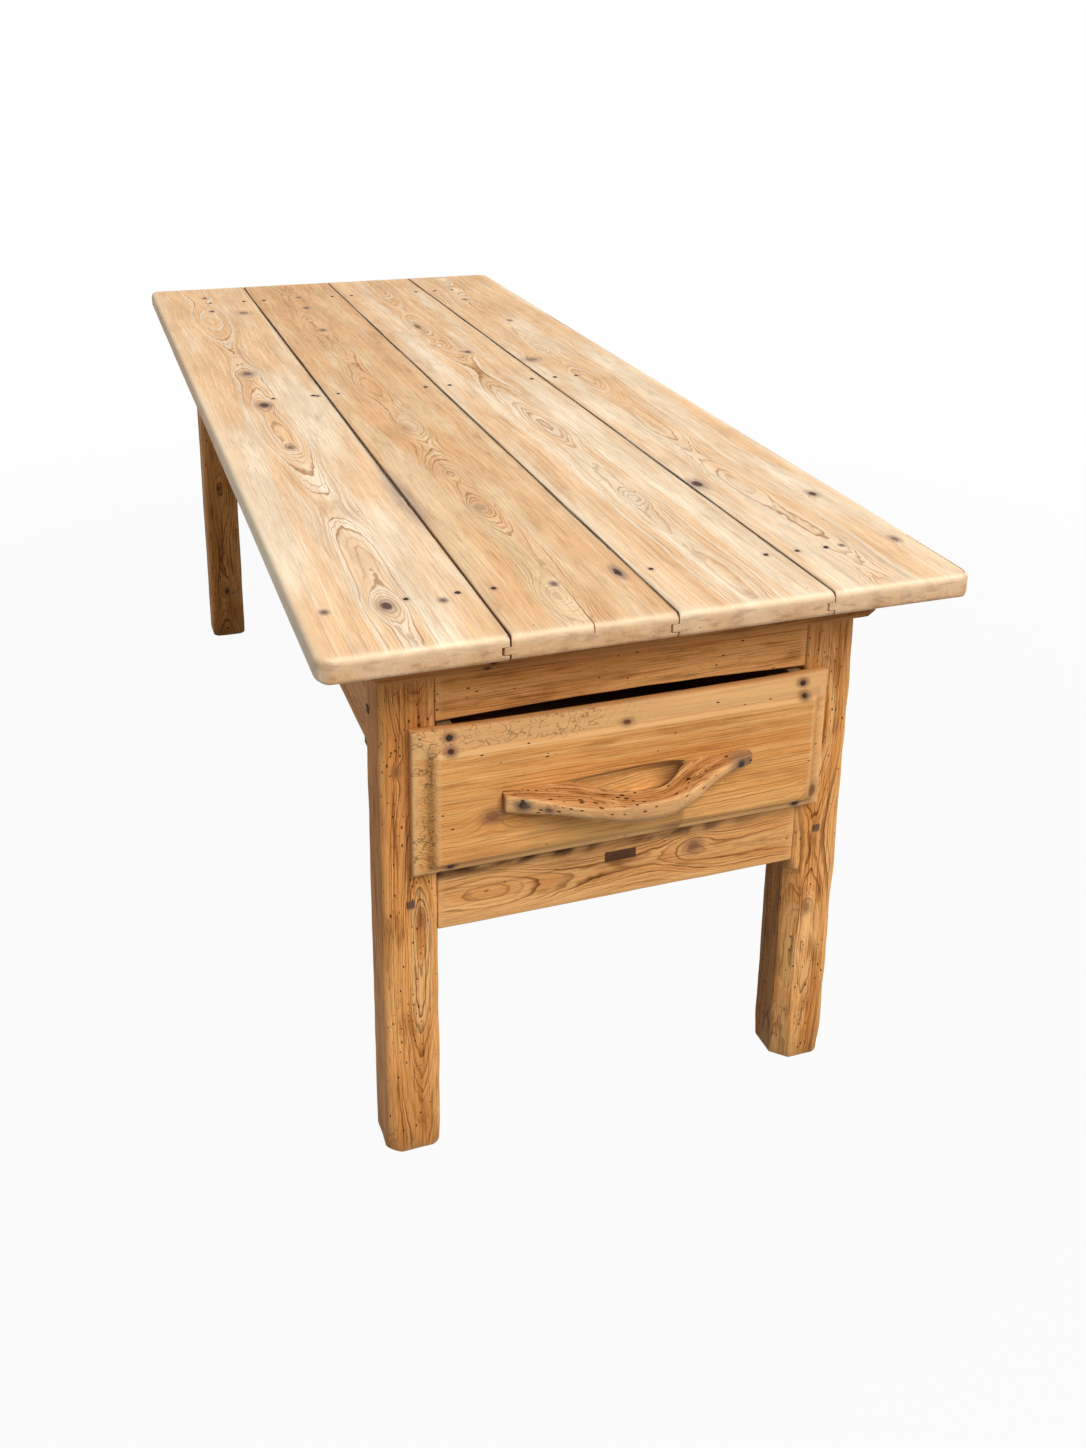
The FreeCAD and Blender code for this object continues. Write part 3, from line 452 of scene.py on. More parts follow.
# Its edge colour is the painted highlight along the pull's round front
BRANCH = PineTone(
    pale=(214, 156, 96), warm=(194, 134, 78), line=(116, 66, 32), bleach=(226, 172, 112),
    edge=(252, 204, 146), end=(140, 98, 64), knot=(66, 46, 38), halo=(112, 90, 76))
PLUG = PineTone(
    pale=(116, 80, 58), warm=(96, 64, 46), line=(64, 42, 30), bleach=(132, 98, 74),
    edge=(70, 46, 34), end=(108, 76, 56), knot=(50, 34, 26), halo=(70, 50, 40))
PEG = PineTone(
    pale=(120, 92, 74), warm=(98, 72, 56), line=(70, 50, 38), bleach=(140, 112, 92),
    edge=(80, 58, 44), end=(112, 86, 70), knot=(56, 40, 32), halo=(80, 62, 50))

HOLE_COLOUR: Colour = (52, 28, 14)
# Colour of real soiling, and also of painted shade where the grime attribute lays it on
GRIME_AND_SHADE_COLOUR: Colour = (66, 40, 24)
SOIL_COLOUR: Colour = (150, 106, 74)


class PineShader:
    """Node groups that every pine finish shares: one for a knot, one for the wood itself."""

    KNOT_FLOATS = ("Along", "Across", "Radius", "Stretch", "Swell", "Core", "Halo")
    FLOATS = ("End", "Edge", "Grime_And_Shade", "Tracks", "Warmth", "Pith Across", "Pith Depth", "Wander Across",
              "Wander Depth", "Wander Length", "Ring", "Heart", "Seed", "Swell", "Core", "Halo", "Lines",
              "Bleaching", "Worms", "Worm Size", "Grit")
    COLOURS = ("Pale", "Warm", "Line", "Bleach", "Edge Tone", "End Tone", "Knot Tone", "Halo Tone")

    def __init__(self) -> None:
        """Builds both groups."""
        self.knot = self.build_knot()
        self.wood = self.build_wood()

    @staticmethod
    def new_group(name: str, vectors: Sequence[str], floats: Sequence[str], colours: Sequence[str],
                  outputs: dict[str, str]) -> tuple[Graph, bpy.types.Node, bpy.types.Node]:
        """Empty group with named sockets.

        Args:
            name: Name of the group.
            vectors: Names of its vector inputs.
            floats: Names of its number inputs.
            colours: Names of its colour inputs.
            outputs: Kind of each output by its name.

        Returns:
            The graph, its input node and its output node.
        """
        tree = bpy.data.node_groups.new(name, "ShaderNodeTree")
        kinds = [(vectors, "NodeSocketVector"), (floats, "NodeSocketFloat"), (colours, "NodeSocketColor")]
        for names, kind in kinds:
            for socket in names:
                tree.interface.new_socket(name=socket, in_out="INPUT", socket_type=kind)
        for socket, kind in outputs.items():
            tree.interface.new_socket(name=socket, in_out="OUTPUT", socket_type=kind)
        graph = Graph(tree)
        return graph, graph.node("NodeGroupInput"), graph.node("NodeGroupOutput")

    def build_knot(self) -> bpy.types.NodeTree:
        """Group that adds one knot to what the knots before it gave.

        Returns:
            The group.
        """
        results = {name: "NodeSocketFloat" for name in ("Swell", "Core", "Halo")}
        floats = self.KNOT_FLOATS + tuple(f"{name} So Far" for name in results)
        graph, given, result = self.new_group("pine_knot", ("Grain",), floats, (), results)
        value = given.outputs
        along, across, _ = graph.separate(value["Grain"])
        run = graph.over(graph.minus(along, value["Along"]), value["Stretch"])
        side = graph.minus(across, value["Across"])
        square = graph.add(graph.times(run, run), graph.times(side, side))
        share = graph.over(graph.math("SQRT", square), value["Radius"])
        fall = graph.math("EXPONENT", graph.times(share, share, -0.16))
        swell = graph.times(fall, value["Swell"])
        graph.feed(result.inputs["Swell"], graph.add(value["Swell So Far"], swell))
        core = graph.times(graph.rise(share, 0.55, 1.0, 1.0, 0.0), value["Core"])
        graph.feed(result.inputs["Core"], graph.most(value["Core So Far"], core))
        halo = graph.times(graph.rise(share, 0.7, 2.4, 1.0, 0.0), value["Halo"])
        graph.feed(result.inputs["Halo"], graph.most(value["Halo So Far"], halo))
        return graph.tree

    def build_wood(self) -> bpy.types.NodeTree:
        """Group that gives the colour and the relief of pine from a point in the log.

        Returns:
            The group.
        """
        results = {"Colour": "NodeSocketColor", "Relief": "NodeSocketFloat"}
        graph, given, result = self.new_group("pine_wood", ("Grain",), self.FLOATS, self.COLOURS, results)
        value = given.outputs
        along, across, depth = graph.separate(value["Grain"])
        seed = value["Seed"]
        shift = graph.combine(graph.times(seed, 31.7), graph.times(seed, 17.1), graph.times(seed, 7.3))

        def drawn_out(lengths: Sequence[float], detail: float) -> tuple[Socket, Socket]:
            """Noise with a length of its own along the grain, across it and into it."""
            return graph.noise(graph.stretch(value["Grain"], lengths, shift), detail)

        # Distance from the pith, which wanders along the log
        place = graph.add(graph.over(along, value["Wander Length"]), graph.times(seed, 13.7))
        wander = graph.separate(graph.noise(place, 1.0, line=True)[1])
        stir = graph.separate(drawn_out((150, 22, 22), 1.0)[1])
        shiver = graph.separate(drawn_out((16, 6, 6), 0.0)[1])
        offsets = []
        for axis, (position, way) in enumerate(((across, "Across"), (depth, "Depth"))):
            drifted = graph.times(graph.minus(wander[axis], 0.5), value[f"Wander {way}"], 2.0)
            stirred = graph.times(graph.minus(stir[axis], 0.5), 5.0)
            shaken = graph.times(graph.minus(shiver[axis], 0.5), 1.5)
            offset = graph.minus(position, value[f"Pith {way}"])
            offsets.append(graph.add(offset, drifted, stirred, shaken))
        square = graph.add(graph.times(offsets[0], offsets[0]), graph.times(offsets[1], offsets[1]))
        radius = graph.minus(graph.math("SQRT", square), value["Swell"])

        # Growth rings: each darkens slowly and ends in a sharp late-wood line
        turns = graph.over(radius, value["Ring"])
        uneven = graph.noise(graph.add(graph.times(turns, 0.31), seed), 1.0, line=True)[0]
        phase = graph.add(turns, graph.times(uneven, 2.2))
        share = graph.math("FRACT", phase)
        late = graph.times(graph.rise(share, 0.48, 0.92), graph.rise(share, 0.93, 0.99, 1.0, 0.0))
        ring = {"W": graph.math("FLOOR", phase)}
        chance = graph.node("ShaderNodeTexWhiteNoise", ring, noise_dimensions="1D").outputs["Value"]
        late = graph.times(late, graph.rise(chance, 0.0, 1.0, 0.3, 1.0))
        band = graph.noise(graph.add(graph.times(turns, 0.38), graph.times(seed, 3.3)), 2.0, line=True)[0]
        spread = graph.over(offsets[0], value["Heart"])
        heart = graph.math("EXPONENT", graph.times(spread, spread, -1.0))
        heart = graph.most(heart, graph.times(value["Swell"], 0.07))

        # Warm and pale patches, bleached bands and the dark lines between the rings
        patch = drawn_out((420, 48, 48), 2.0)[0]
        patch = graph.add(patch, value["Warmth"])
        cloud = drawn_out((170, 32, 32), 3.0)[0]
        fibre = drawn_out((38, 0.9, 0.9), 2.0)[0]
        clear = drawn_out((260, 45, 45), 1.0)[0]

        colour = graph.mix(graph.rise(patch, 0.36, 0.66), value["Pale"], value["Warm"])
        bleached = graph.times(graph.rise(band, 0.50, 0.72), value["Bleaching"])
        colour = graph.mix(bleached, colour, value["Bleach"])
        warmed = graph.times(graph.rise(band, 0.48, 0.30), value["Bleaching"], 0.6)
        colour = graph.mix(warmed, colour, value["Warm"])
        drawn = graph.times(late, value["Lines"], graph.rise(clear, 0.30, 0.60, 0.45, 1.0))
        drawn = graph.times(drawn, graph.rise(heart, 0.0, 1.0, 0.22, 1.0))
        plain = graph.most(graph.times(value["End"], 0.65), graph.times(value["Edge"], 0.7))
        drawn = graph.times(drawn, graph.minus(1.0, plain))
        colour = graph.mix(drawn, colour, value["Line"])
        colour = graph.mix(graph.times(value["End"], 0.72), colour, value["End Tone"])

        # Soiled ends, grit in the pores, rubbed arrises and painted highlights, real soiling and painted
        # shade, and knots
        smudge = drawn_out((30, 26, 7), 3.0)[0]
        soiled = graph.times(value["End"], graph.rise(smudge, 0.46, 0.72), 0.55)
        colour = graph.mix(soiled, colour, linear(SOIL_COLOUR))
        clouded = graph.rise(cloud, 0.3, 0.7, 0.9, 1.05)
        shade = graph.times(graph.rise(fibre, 0.25, 0.75, 0.88, 1.06), clouded)
        streak = drawn_out((95, 1.7, 1.7), 1.0)[0]
        pore = drawn_out((8, 1.0, 1.0), 1.0)[0]
        blotch = drawn_out((60, 13, 13), 3.0)[0]
        gritty = graph.add(graph.rise(streak, 0.5, 0.72, 0.0, 0.34), graph.rise(pore, 0.6, 0.76, 0.0, 0.24),
                           graph.rise(blotch, 0.5, 0.78, 0.0, 0.3))
        off_pale_edge = graph.minus(1.0, graph.times(value["Edge"], 0.6))
        gritty = graph.times(gritty, value["Grit"], off_pale_edge)
        shade = graph.times(shade, graph.minus(1.04, gritty))
        tinted = graph.combine(shade, graph.math("POWER", shade, 1.25), graph.math("POWER", shade, 1.5))
        colour = graph.mix(1.0, colour, tinted, "MULTIPLY")
        # Pale edge tone: wear on rubbed arrises, and painted highlights on the drawer front's bevels and
        # the pull's round front
        colour = graph.mix(graph.times(value["Edge"], 0.55), colour, value["Edge Tone"])
        # Dark tone: real soiling in some places, and painted shade on the drawer front, under the pull and
        # on the right legs' inner faces
        dirt = graph.times(value["Grime_And_Shade"], graph.rise(cloud, 0.3, 0.65, 0.45, 1.0))
        colour = graph.mix(dirt, colour, linear(GRIME_AND_SHADE_COLOUR))
        colour = graph.mix(value["Halo"], colour, value["Halo Tone"])
        colour = graph.mix(value["Core"], colour, value["Knot Tone"])

        # Worm holes, crowded in some places and missing in others
        feeds = {"Vector": graph.stretch(value["Grain"], (12, 5.5, 5.5), shift), "Scale": 1.0}
        cells = graph.node("ShaderNodeTexVoronoi", feeds, voronoi_dimensions="3D")
        chosen = graph.separate(cells.outputs["Color"])
        crowd = drawn_out((110, 40, 40), 0.0)[0]
        wanted = graph.times(value["Worms"], graph.rise(crowd, 0.35, 0.65, 0.15, 1.0))
        size = graph.times(graph.rise(chosen[1], 0.0, 1.0, 0.07, 0.19), value["Worm Size"])
        inside = graph.rise(graph.minus(cells.outputs["Distance"], size), -0.02, 0.02, 1.0, 0.0)
        hole = graph.times(inside, graph.math("LESS_THAN", chosen[0], wanted))
        maze = drawn_out((12, 9, 9), 1.0)[0]
        track = graph.rise(graph.math("ABSOLUTE", graph.minus(maze, 0.5)), 0.008, 0.03, 1.0, 0.0)
        track = graph.times(track, value["Tracks"], graph.rise(blotch, 0.42, 0.52))
        hole = graph.most(hole, graph.times(track, 0.6))
        colour = graph.mix(graph.times(hole, 0.9), colour, linear(HOLE_COLOUR))

        graph.feed(result.inputs["Colour"], colour)
        grain = graph.add(graph.times(late, 0.09), graph.times(fibre, 0.08))
        relief = graph.add(grain, graph.times(hole, -0.9), graph.times(value["Core"], -0.12))
        smoothed = graph.minus(1.0, graph.times(value["Edge"], 0.85))
        graph.feed(result.inputs["Relief"], graph.times(relief, smoothed))
        return graph.tree


@dataclass(frozen=True)
class PineFinish:
    """Waxed pine of one timber: how it lay in the log, its tone, its knots and its wear."""

    name: str
    grain: Grain
    tone: PineTone
    seed: float
    origin: Point = (0.0, 0.0, 0.0)
    pith: tuple[float, float] = (0.0, -32.0)
    wander: tuple[float, float] = (5.0, 20.0)
    wander_length: float = 380.0
    ring: float = 2.6
    lines: float = 0.7
    bleaching: float = 0.6
    worms: float = 0.05
    worm_size: float = 1.0
    grit: float = 0.7
    heart: float = 36.0
    warm_run: tuple[float, float] | None = None
    knots: tuple[Knot, ...] = ()
    roughness: float = 0.5
    shine: float = 0.05
    relief: float = 0.8
    grain_attribute: str = ""

    def grain_vector(self, graph: Graph) -> Socket:
        """Place in the log.

        Args:
            graph: Graph of the material.

        Returns:
            Millimetres along the grain, across the face and into it.
        """
        if self.grain_attribute:
            stored = graph.node("ShaderNodeAttribute", attribute_name=self.grain_attribute)
            return stored.outputs["Vector"]
        place = graph.node("ShaderNodeTexCoord").outputs["Object"]
        parts = graph.separate(graph.stretch(place, (MM, MM, MM), [-value for value in self.origin]))
        return graph.combine(*(parts[axis] for axis in self.grain.axes))

    def end_share(self, graph: Graph) -> Socket:
        """How squarely the surface cuts across the grain, from 0 to 1."""
        normal = graph.separate(graph.node("ShaderNodeTexCoord").outputs["Normal"])
        return graph.rise(graph.math("ABSOLUTE", normal[self.grain.axes[0]]), 0.55, 0.95)

    def material(self, shader: PineShader) -> bpy.types.Material:
        """New material of this finish.

        Args:
            shader: Node groups of the pine.

        Returns:
            The material.
        """
        made, graph = new_material(self.name)
        grain = self.grain_vector(graph)
        sums: dict[str, object] = {"Swell": 0.0, "Core": 0.0, "Halo": 0.0}
        for knot in self.knots:
            feeds = {name: getattr(knot, name.lower()) for name in shader.KNOT_FLOATS}
            feeds.update({f"{name} So Far": total for name, total in sums.items()})
            node = graph.node("ShaderNodeGroup", {"Grain": grain, **feeds}, node_tree=shader.knot)
            sums = {name: node.outputs[name] for name in sums}
        values: dict[str, object] = {
            "Grain": grain, "End": self.end_share(graph), "Heart": self.heart,
            "Pith Across": self.pith[0], "Pith Depth": self.pith[1],
            "Wander Across": self.wander[0], "Wander Depth": self.wander[1],
            "Wander Length": self.wander_length, "Ring": self.ring, "Seed": self.seed,
            "Lines": self.lines, "Bleaching": self.bleaching, "Worms": self.worms,
            "Worm Size": self.worm_size, "Grit": self.grit, **sums}
        for mark in ("Edge", "Grime_And_Shade", "Tracks"):
            stored = graph.node("ShaderNodeAttribute", attribute_name=mark.lower())
            values[mark] = stored.outputs["Fac"]
        if self.warm_run:
            values["Warmth"] = graph.rise(graph.separate(grain)[0], *self.warm_run, 0.0, 0.13)
        for name in shader.COLOURS:
            values[name] = linear(getattr(self.tone, name.split()[0].lower()))
        wood = graph.node("ShaderNodeGroup", values, node_tree=shader.wood)
        settings = {"Base Color": wood.outputs["Colour"], "Roughness": self.roughness,
                    "Specular IOR Level": self.shine}
        graph.surface(settings, wood.outputs["Relief"], self.relief)
        return made


@dataclass(frozen=True)
class IronFinish:
    """Rusted iron of hand-made nails."""

    name: str = "rusted_iron"
    dark: Colour = (44, 36, 34)
    rust: Colour = (92, 58, 40)
    roughness: float = 0.6
    metal: float = 0.3
    relief: float = 0.6

    def material(self) -> bpy.types.Material:
        """New material of this finish.

        Returns:
            The material.
        """
        made, graph = new_material(self.name)
        coordinates = graph.node("ShaderNodeTexCoord").outputs["Object"]
        blotch = graph.noise(graph.stretch(coordinates, (0.003, 0.003, 0.003), (4.0, 2.0, 1.0)), 3.0)[0]
        tone = graph.mix(graph.rise(blotch, 0.4, 0.7), linear(self.dark), linear(self.rust))
        settings = {"Base Color": tone, "Roughness": self.roughness, "Metallic": self.metal}
        graph.surface(settings, graph.times(blotch, self.relief), 1.0)
        return made


def dress(piece: bpy.types.Object, material: bpy.types.Material) -> None:
    """Gives a piece one material all over."""
    piece.data.materials.clear()
    piece.data.materials.append(material)


def seat(piece: bpy.types.Object, body: str, slot: str, *nodes: str) -> bpy.types.Object:
    """Lets a piece ride on a body and hides the solids that it stands for.

    Args:
        piece: The piece.
        body: Name of the body.
        slot: Name of the material slot; not used.
        nodes: Names of the solids' nodes.

    Returns:
        The piece.
    """
    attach(piece, body)
    if nodes:
        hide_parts(*nodes)
    LOG.info("%s rides on %s with %d faces", piece.name, body, len(piece.data.polygons))
    return piece


def rounded_section(bounds: Sequence[float], radii: Sequence[float], flats: tuple[int, int],
                    flatness: Sequence[float]) -> np.ndarray:
    """Rectangle with rounded corners as a closed ring of points.

    Args:
        bounds: Low and high on the first axis, then on the second.
        radii: Radius of each corner, counter-clockwise from the lowest one.
        flats: Points along the sides that run on the first and on the second axis.
        flatness: For each corner, 0 for a round one to 1 for a straight bevel.

    Returns:
        Points of the ring, one to a row.
    """
    low_a, high_a, low_b, high_b = bounds
    steps = np.linspace(0, math.pi / 2, 6)
    corners = [(low_a, low_b, 1, 1, math.pi), (high_a, low_b, -1, 1, 1.5 * math.pi),
               (high_a, high_b, -1, -1, 0.0), (low_a, high_b, 1, -1, 0.5 * math.pi)]
    arcs = []
    for (a, b, inward_a, inward_b, start), radius, flat in zip(corners, radii, flatness):
        centre = np.array([a + inward_a * radius, b + inward_b * radius])
        arc = centre + radius * np.column_stack([np.cos(start + steps), np.sin(start + steps)])
        chord = arc[0] + (arc[-1] - arc[0]) * (steps / steps[-1])[:, None]
        arcs.append(arc * (1 - flat) + chord * flat)
    ring = []
    for corner, arc in enumerate(arcs):
        after = arcs[(corner + 1) % 4]
        count = flats[corner % 2]
        shares = np.linspace(0, 1, count + 2)[1:-1, None]
        ring += [arc, arc[-1] + (after[0] - arc[-1]) * shares]
    return np.vstack(ring)


@dataclass
class Timber:
    """Squared timber whose arrises are worn unevenly round.

    Corners are numbered counter-clockwise from the lowest one, seen along the grain. extra gives more
    wear at a place along the grain, as a radius and a flatness for a corner. shape moves the finished
    points, and dirt says how dark they are, from use, and in places from painted shade.
    """

    name: str
    body: str
    slot: str
    finish: PineFinish
    low: np.ndarray
    high: np.ndarray
    arris: float = 3.0
    flatness: float = 0.35
    wear: float = 0.5
    wear_length: float = 45.0
    end_rounds: tuple[float, float] = (2.0, 2.0)
    end_steps: tuple[float, ...] = (0, 0.08, 0.3, 0.6, 1.0)
    step: float = 9.0
    flat_step: float = 8.0
    swell: float = 0.35
    swell_along: float = 130.0
    swell_across: float = 24.0
    nodes: tuple[str, ...] = ()
    extra: Callable[[int, float], tuple[float, float]] | None = None
    shape: Callable[[np.ndarray], np.ndarray] | None = None
    dirt: Callable[[np.ndarray], np.ndarray] | None = None
    edge_reach: float = 5.0

    def ring_at(self, place: float) -> np.ndarray:
        """Ring of the timber's surface.

        Args:
            place: Place along the grain.

        Returns:
            Points of the ring, one to a row.
        """
        run, first, second = self.finish.grain.axes
        inset = max(float(round_inset(self.end_rounds[0], place - self.low[run])),
                    float(round_inset(self.end_rounds[1], self.high[run] - place)))
        bounds = (self.low[first] + inset, self.high[first] - inset,
                  self.low[second] + inset, self.high[second] - inset)
        radii, flatness = [], []
        for corner in range(4):
            uneven = 1 + self.wear * swing(place, self.wear_length, self.finish.seed + 2.3 * corner)
            more, flat = self.extra(corner, place) if self.extra else (0.0, self.flatness)
            radii.append(self.arris * max(0.3, uneven) + more)
            flatness.append(flat)
        sides = [self.high[axis] - self.low[axis] for axis in (first, second)]
        flats = tuple(max(2, round(side / self.flat_step)) for side in sides)
        section = rounded_section(bounds, radii, flats, flatness)
        ring = np.empty((len(section), 3))
        ring[:, run] = place
        ring[:, first] = section[:, 0]
        ring[:, second] = section[:, 1]
        return ring

    def build(self, shader: PineShader) -> bpy.types.Object:
        """Builds, dresses and seats the timber.

        Args:
            shader: Node groups of the pine.

        Returns:
            The piece.
        """
        run = self.finish.grain.axes[0]
        reach = max(*self.end_rounds, 1.0)
        ends = [reach * share for share in self.end_steps]
        places = spaced(self.low[run], self.high[run], self.step, ends)
        piece = loft(self.name, [self.ring_at(place) for place in places])
        if self.shape:
            move_points(piece, self.shape(points_mm(piece)))
        mark_edges(piece, self.low, self.high, self.edge_reach)
        if self.dirt:
            set_attribute(piece, "grime_and_shade", self.dirt(points_mm(piece)))
        lengths = [self.swell_across] * 3
        lengths[run] = self.swell_along
        ripple(piece, self.swell, lengths, self.finish.seed)
        settled = points_mm(piece)
        settled[:, run] = np.clip(settled[:, run], self.low[run], self.high[run])
        move_points(piece, settled)
        dress(piece, self.finish.material(shader))
        return seat(piece, self.body, self.slot, *self.nodes)


@dataclass
class Seam:
    """Long edge of the top or joint between two boards, at the front and at the back."""

    front: float
    back: float
    gap: float = 1.2

    def at(self, share: float) -> float:
        """Place across the table at a share of the length."""
        return self.front + (self.back - self.front) * share


@dataclass(frozen=True)
class BoardLook:
    """What sets one board of the top apart from the others."""

    tone: PineTone
    grit: float
    pith: tuple[float, float]
    knots: tuple[Knot, ...]


BOARD_LOOKS = (
    BoardLook(SCRUBBED, 0.4, (-294, -30), (
        Knot(123, -300, 8, swell=13), Knot(753, -296, 6, core=0.5), Knot(999, -295, 9, halo=0.8),
        Knot(1214, -290, 9, core=0.6), Knot(1763, -281, 5), Knot(1903, -279, 5), stain(126, -371, 4),
        stain(119, -234, 4), stain(1032, -200, 4), stain(1730, -219, 12, 0.3),
        Knot(480, -190, 9, swell=0, core=0, halo=0.5, stretch=9))),
    BoardLook(HONEY, 0.55, (-96, -32), (
        Knot(87, -111, 11, core=0, halo=0, swell=14), Knot(410, -101, 9, core=0.3, halo=0.15),
        Knot(565, -100, 7, core=0.15, halo=0.1), Knot(802, -99, 13, core=0.14, halo=0.15),
        Knot(1523, -91, 6, core=0.6), Knot(1743, -82, 6, core=0.6), Knot(1857, -78, 5, core=0.5),
        stain(127, -96, 4), Knot(138, -10, 5, swell=0, core=0.9, halo=0.8, stretch=3),
        Knot(480, -188, 9, swell=0, core=0, halo=0.5, stretch=9))),
    BoardLook(SCRUBBED, 0.45, (112, -30), (
        Knot(384, 118, 8, core=0, halo=0, swell=9), Knot(1262, 137, 6, core=0.8),
        Knot(1501, 101, 7, core=0.6, halo=0.3, stretch=4), Knot(1326, 89, 7, core=0.1, halo=0.1))),
    BoardLook(SCRUBBED, 0.45, (284, -34), (
        Knot(413, 224, 9, core=0.9), Knot(325, 361, 6, core=0.9), Knot(135, 375, 5, core=0.5),
        Knot(1171, 236, 13, core=0.4, halo=0.4, stretch=1), Knot(1246, 276, 8, core=0.1, halo=0.1),
        Knot(1504, 301, 5, core=0.6), Knot(1736, 272, 5, core=0.6), stain(136, 297, 3))),
)


@dataclass
class TableTop:
    """Four tongued and grooved boards with worn round ends."""

    seams: list[Seam] = field(default_factory=lambda: [
        Seam(-405, -385, 0.0), Seam(-191, -178, 2.2), Seam(10, 18, 1.5), Seam(211, 211, 1.8),
        Seam(405, 405, 0.0)])
    tongue_reach: float = 8.0
    tongue_low: float = 8.0
    tongue_high: float = 17.0
    groove_play: float = 1.1
    corner_radius: float = 24.0
    top_round: float = 7.5
    under_round: float = 6.0
    step: float = 6.5
    flat_step: float = 6.0
    round_steps: int = 12
    end_steps: tuple[float, ...] = (0, 0.006, 0.03, 0.08, 0.16, 0.27, 0.42, 0.65, 1.0)
    first_step: float = 1.6
    joint_arrises: tuple[float, float] = (1.5, 0.8)
    ragged_middle: float = 0.26
    ragged_spread: float = 0.12
    ragged_chip: float = 4.0
    arris_light: float = 3.2
    arris_reach: float = 6.0
    swell: float = 0.45
    nail_rows: tuple[float, ...] = (135.0, 1035.0, 1847.0)
    nail_inset: float = 22.0
    nail_limit: float = 274.0
    front_short: tuple[float, ...] = (0.1, 0.7, 0.3, 0.5)
    back_short: tuple[float, ...] = (0.8, 0.2, 0.9, 0.4)
    split_board: int = 1
    split_front: float = -93.0
    split_back: float = -86.0
    split_length: float = 135.0
    split_width: float = 0.9
    split_depth: float = 13.0
    split_sway: float = 1.6

    def __post_init__(self) -> None:
        """Takes the length and the two levels from the solids."""
        low, high = box_mm("top_board_1")
        self.front, self.back = low[1], high[1]
        self.under, self.top = low[2], high[2]

    def finishes(self) -> list[PineFinish]:
        """Finish of each board.

        Returns:
            The finishes from left to right.
        """
        boards = []
        for board, look in enumerate(BOARD_LOOKS):
            left, right = self.seams[board], self.seams[board + 1]
            marks = []
            for along in self.nail_rows:
                share = along / (self.back - self.front)
                for across in (left.at(share) + self.nail_inset, right.at(share) - self.nail_inset):
                    nail = max(-self.nail_limit, min(self.nail_limit, across))
                    marks.append(stain(along, nail, 3.5, 0.4))
            boards.append(PineFinish(
                f"scrubbed_pine_{board + 1}", Grain.ALONG, look.tone, 3.1 + 1.7 * board,
                origin=(0.0, self.front, self.top), pith=look.pith, wander=(7.0, 24.0), wander_length=420.0,
                ring=2.9, lines=0.8, bleaching=0.42, worms=0.012, grit=look.grit, heart=34.0,
                warm_run=(500.0, 1900.0), knots=look.knots + tuple(marks), roughness=0.46))
        return boards

    def edge_profile(self, joint: bool, place: float, share: float) -> tuple[float, float, float]:
        """Form of a board's long edge.

        Args:
            joint: Whether the edge lies against another board.
            place: Place along the table.
            share: The same as a share of the length; above 1 leaves the ragged stretch out.

        Returns:
            Share of the gap that the board leaves, and the radii of its upper and lower arris.
        """
        if not joint:
            return 0.0, self.top_round, self.under_round
        ragged = math.exp(-((share - self.ragged_middle) / self.ragged_spread) ** 2)
        chip = max(0.0, swing(place, 26, 4.4)) * self.ragged_chip * ragged
        upper, lower = self.joint_arrises
        return 0.55 + 0.4 * ragged, upper + chip, lower

    def section(self, board: int, place: float) -> np.ndarray:
        """Ring of a board's surface.

        Args:
            board: Number of the board, from 0 at the left.
            place: Place along the table.

        Returns:
            Points of the ring, one to a row.
        """
        share = (place - self.front) / (self.back - self.front)
        left, right = self.seams[board], self.seams[board + 1]
        first, last = board == 0, board == len(self.seams) - 2
        left_gap, left_top, left_low = self.edge_profile(not first, place, share if board == 1 else 2.0)
        right_gap, right_top, right_low = self.edge_profile(not last, place, share if board == 0 else 2.0)
        x0, x1 = left.at(share) + left_gap * left.gap, right.at(share) - right_gap * right.gap
        z0, z1 = self.under, self.top
        quarter = np.linspace(0, math.pi / 2, self.round_steps)
        count = round((self.seams[board + 1].front - self.seams[board].front) / self.flat_step)
        flat_top = np.linspace(x0 + left_top, x1 - right_top, count)
        flat_top[1] = flat_top[0] + self.first_step
        flat_top[-2] = flat_top[-1] - self.first_step
        heights = np.full(count, z1)
        if board == self.split_board:
            self.cut_split(flat_top, heights, place)
        ring = [np.column_stack([flat_top, heights])]
        ring.append(np.column_stack([x1 - right_top + right_top * np.sin(quarter),
                                     z1 - right_top + right_top * np.cos(quarter)]))
        low, high = z0 + self.tongue_low, z0 + self.tongue_high
        if not last:
            depth = self.tongue_reach + self.groove_play
            ring.append(np.array([[x1, high + self.groove_play], [x1 - depth, high + self.groove_play],
                                  [x1 - depth, low - self.groove_play], [x1, low - self.groove_play]]))
        ring.append(np.column_stack([x1 - right_low + right_low * np.cos(quarter),
                                     z0 + right_low - right_low * np.sin(quarter)]))
        flat_low = np.linspace(x1 - right_low, x0 + left_low, max(4, count // 3))[1:-1]
        ring.append(np.column_stack([flat_low, np.full(len(flat_low), z0)]))
        ring.append(np.column_stack([x0 + left_low - left_low * np.sin(quarter),
                                     z0 + left_low - left_low * np.cos(quarter)]))
        if not first:
            tip = x0 - self.tongue_reach
            ring.append(np.array([[x0, low], [tip, low], [tip, high], [x0, high]]))
        upper_left = np.column_stack([x0 + left_top - left_top * np.cos(quarter),
                                      z1 - left_top + left_top * np.sin(quarter)])
        ring.append(upper_left[:-1])
        points = np.vstack(ring)
        self.round_end(points, place, x0 if first else None, x1 if last else None)
        return np.column_stack([points[:, 0], np.full(len(points), place), points[:, 1]])

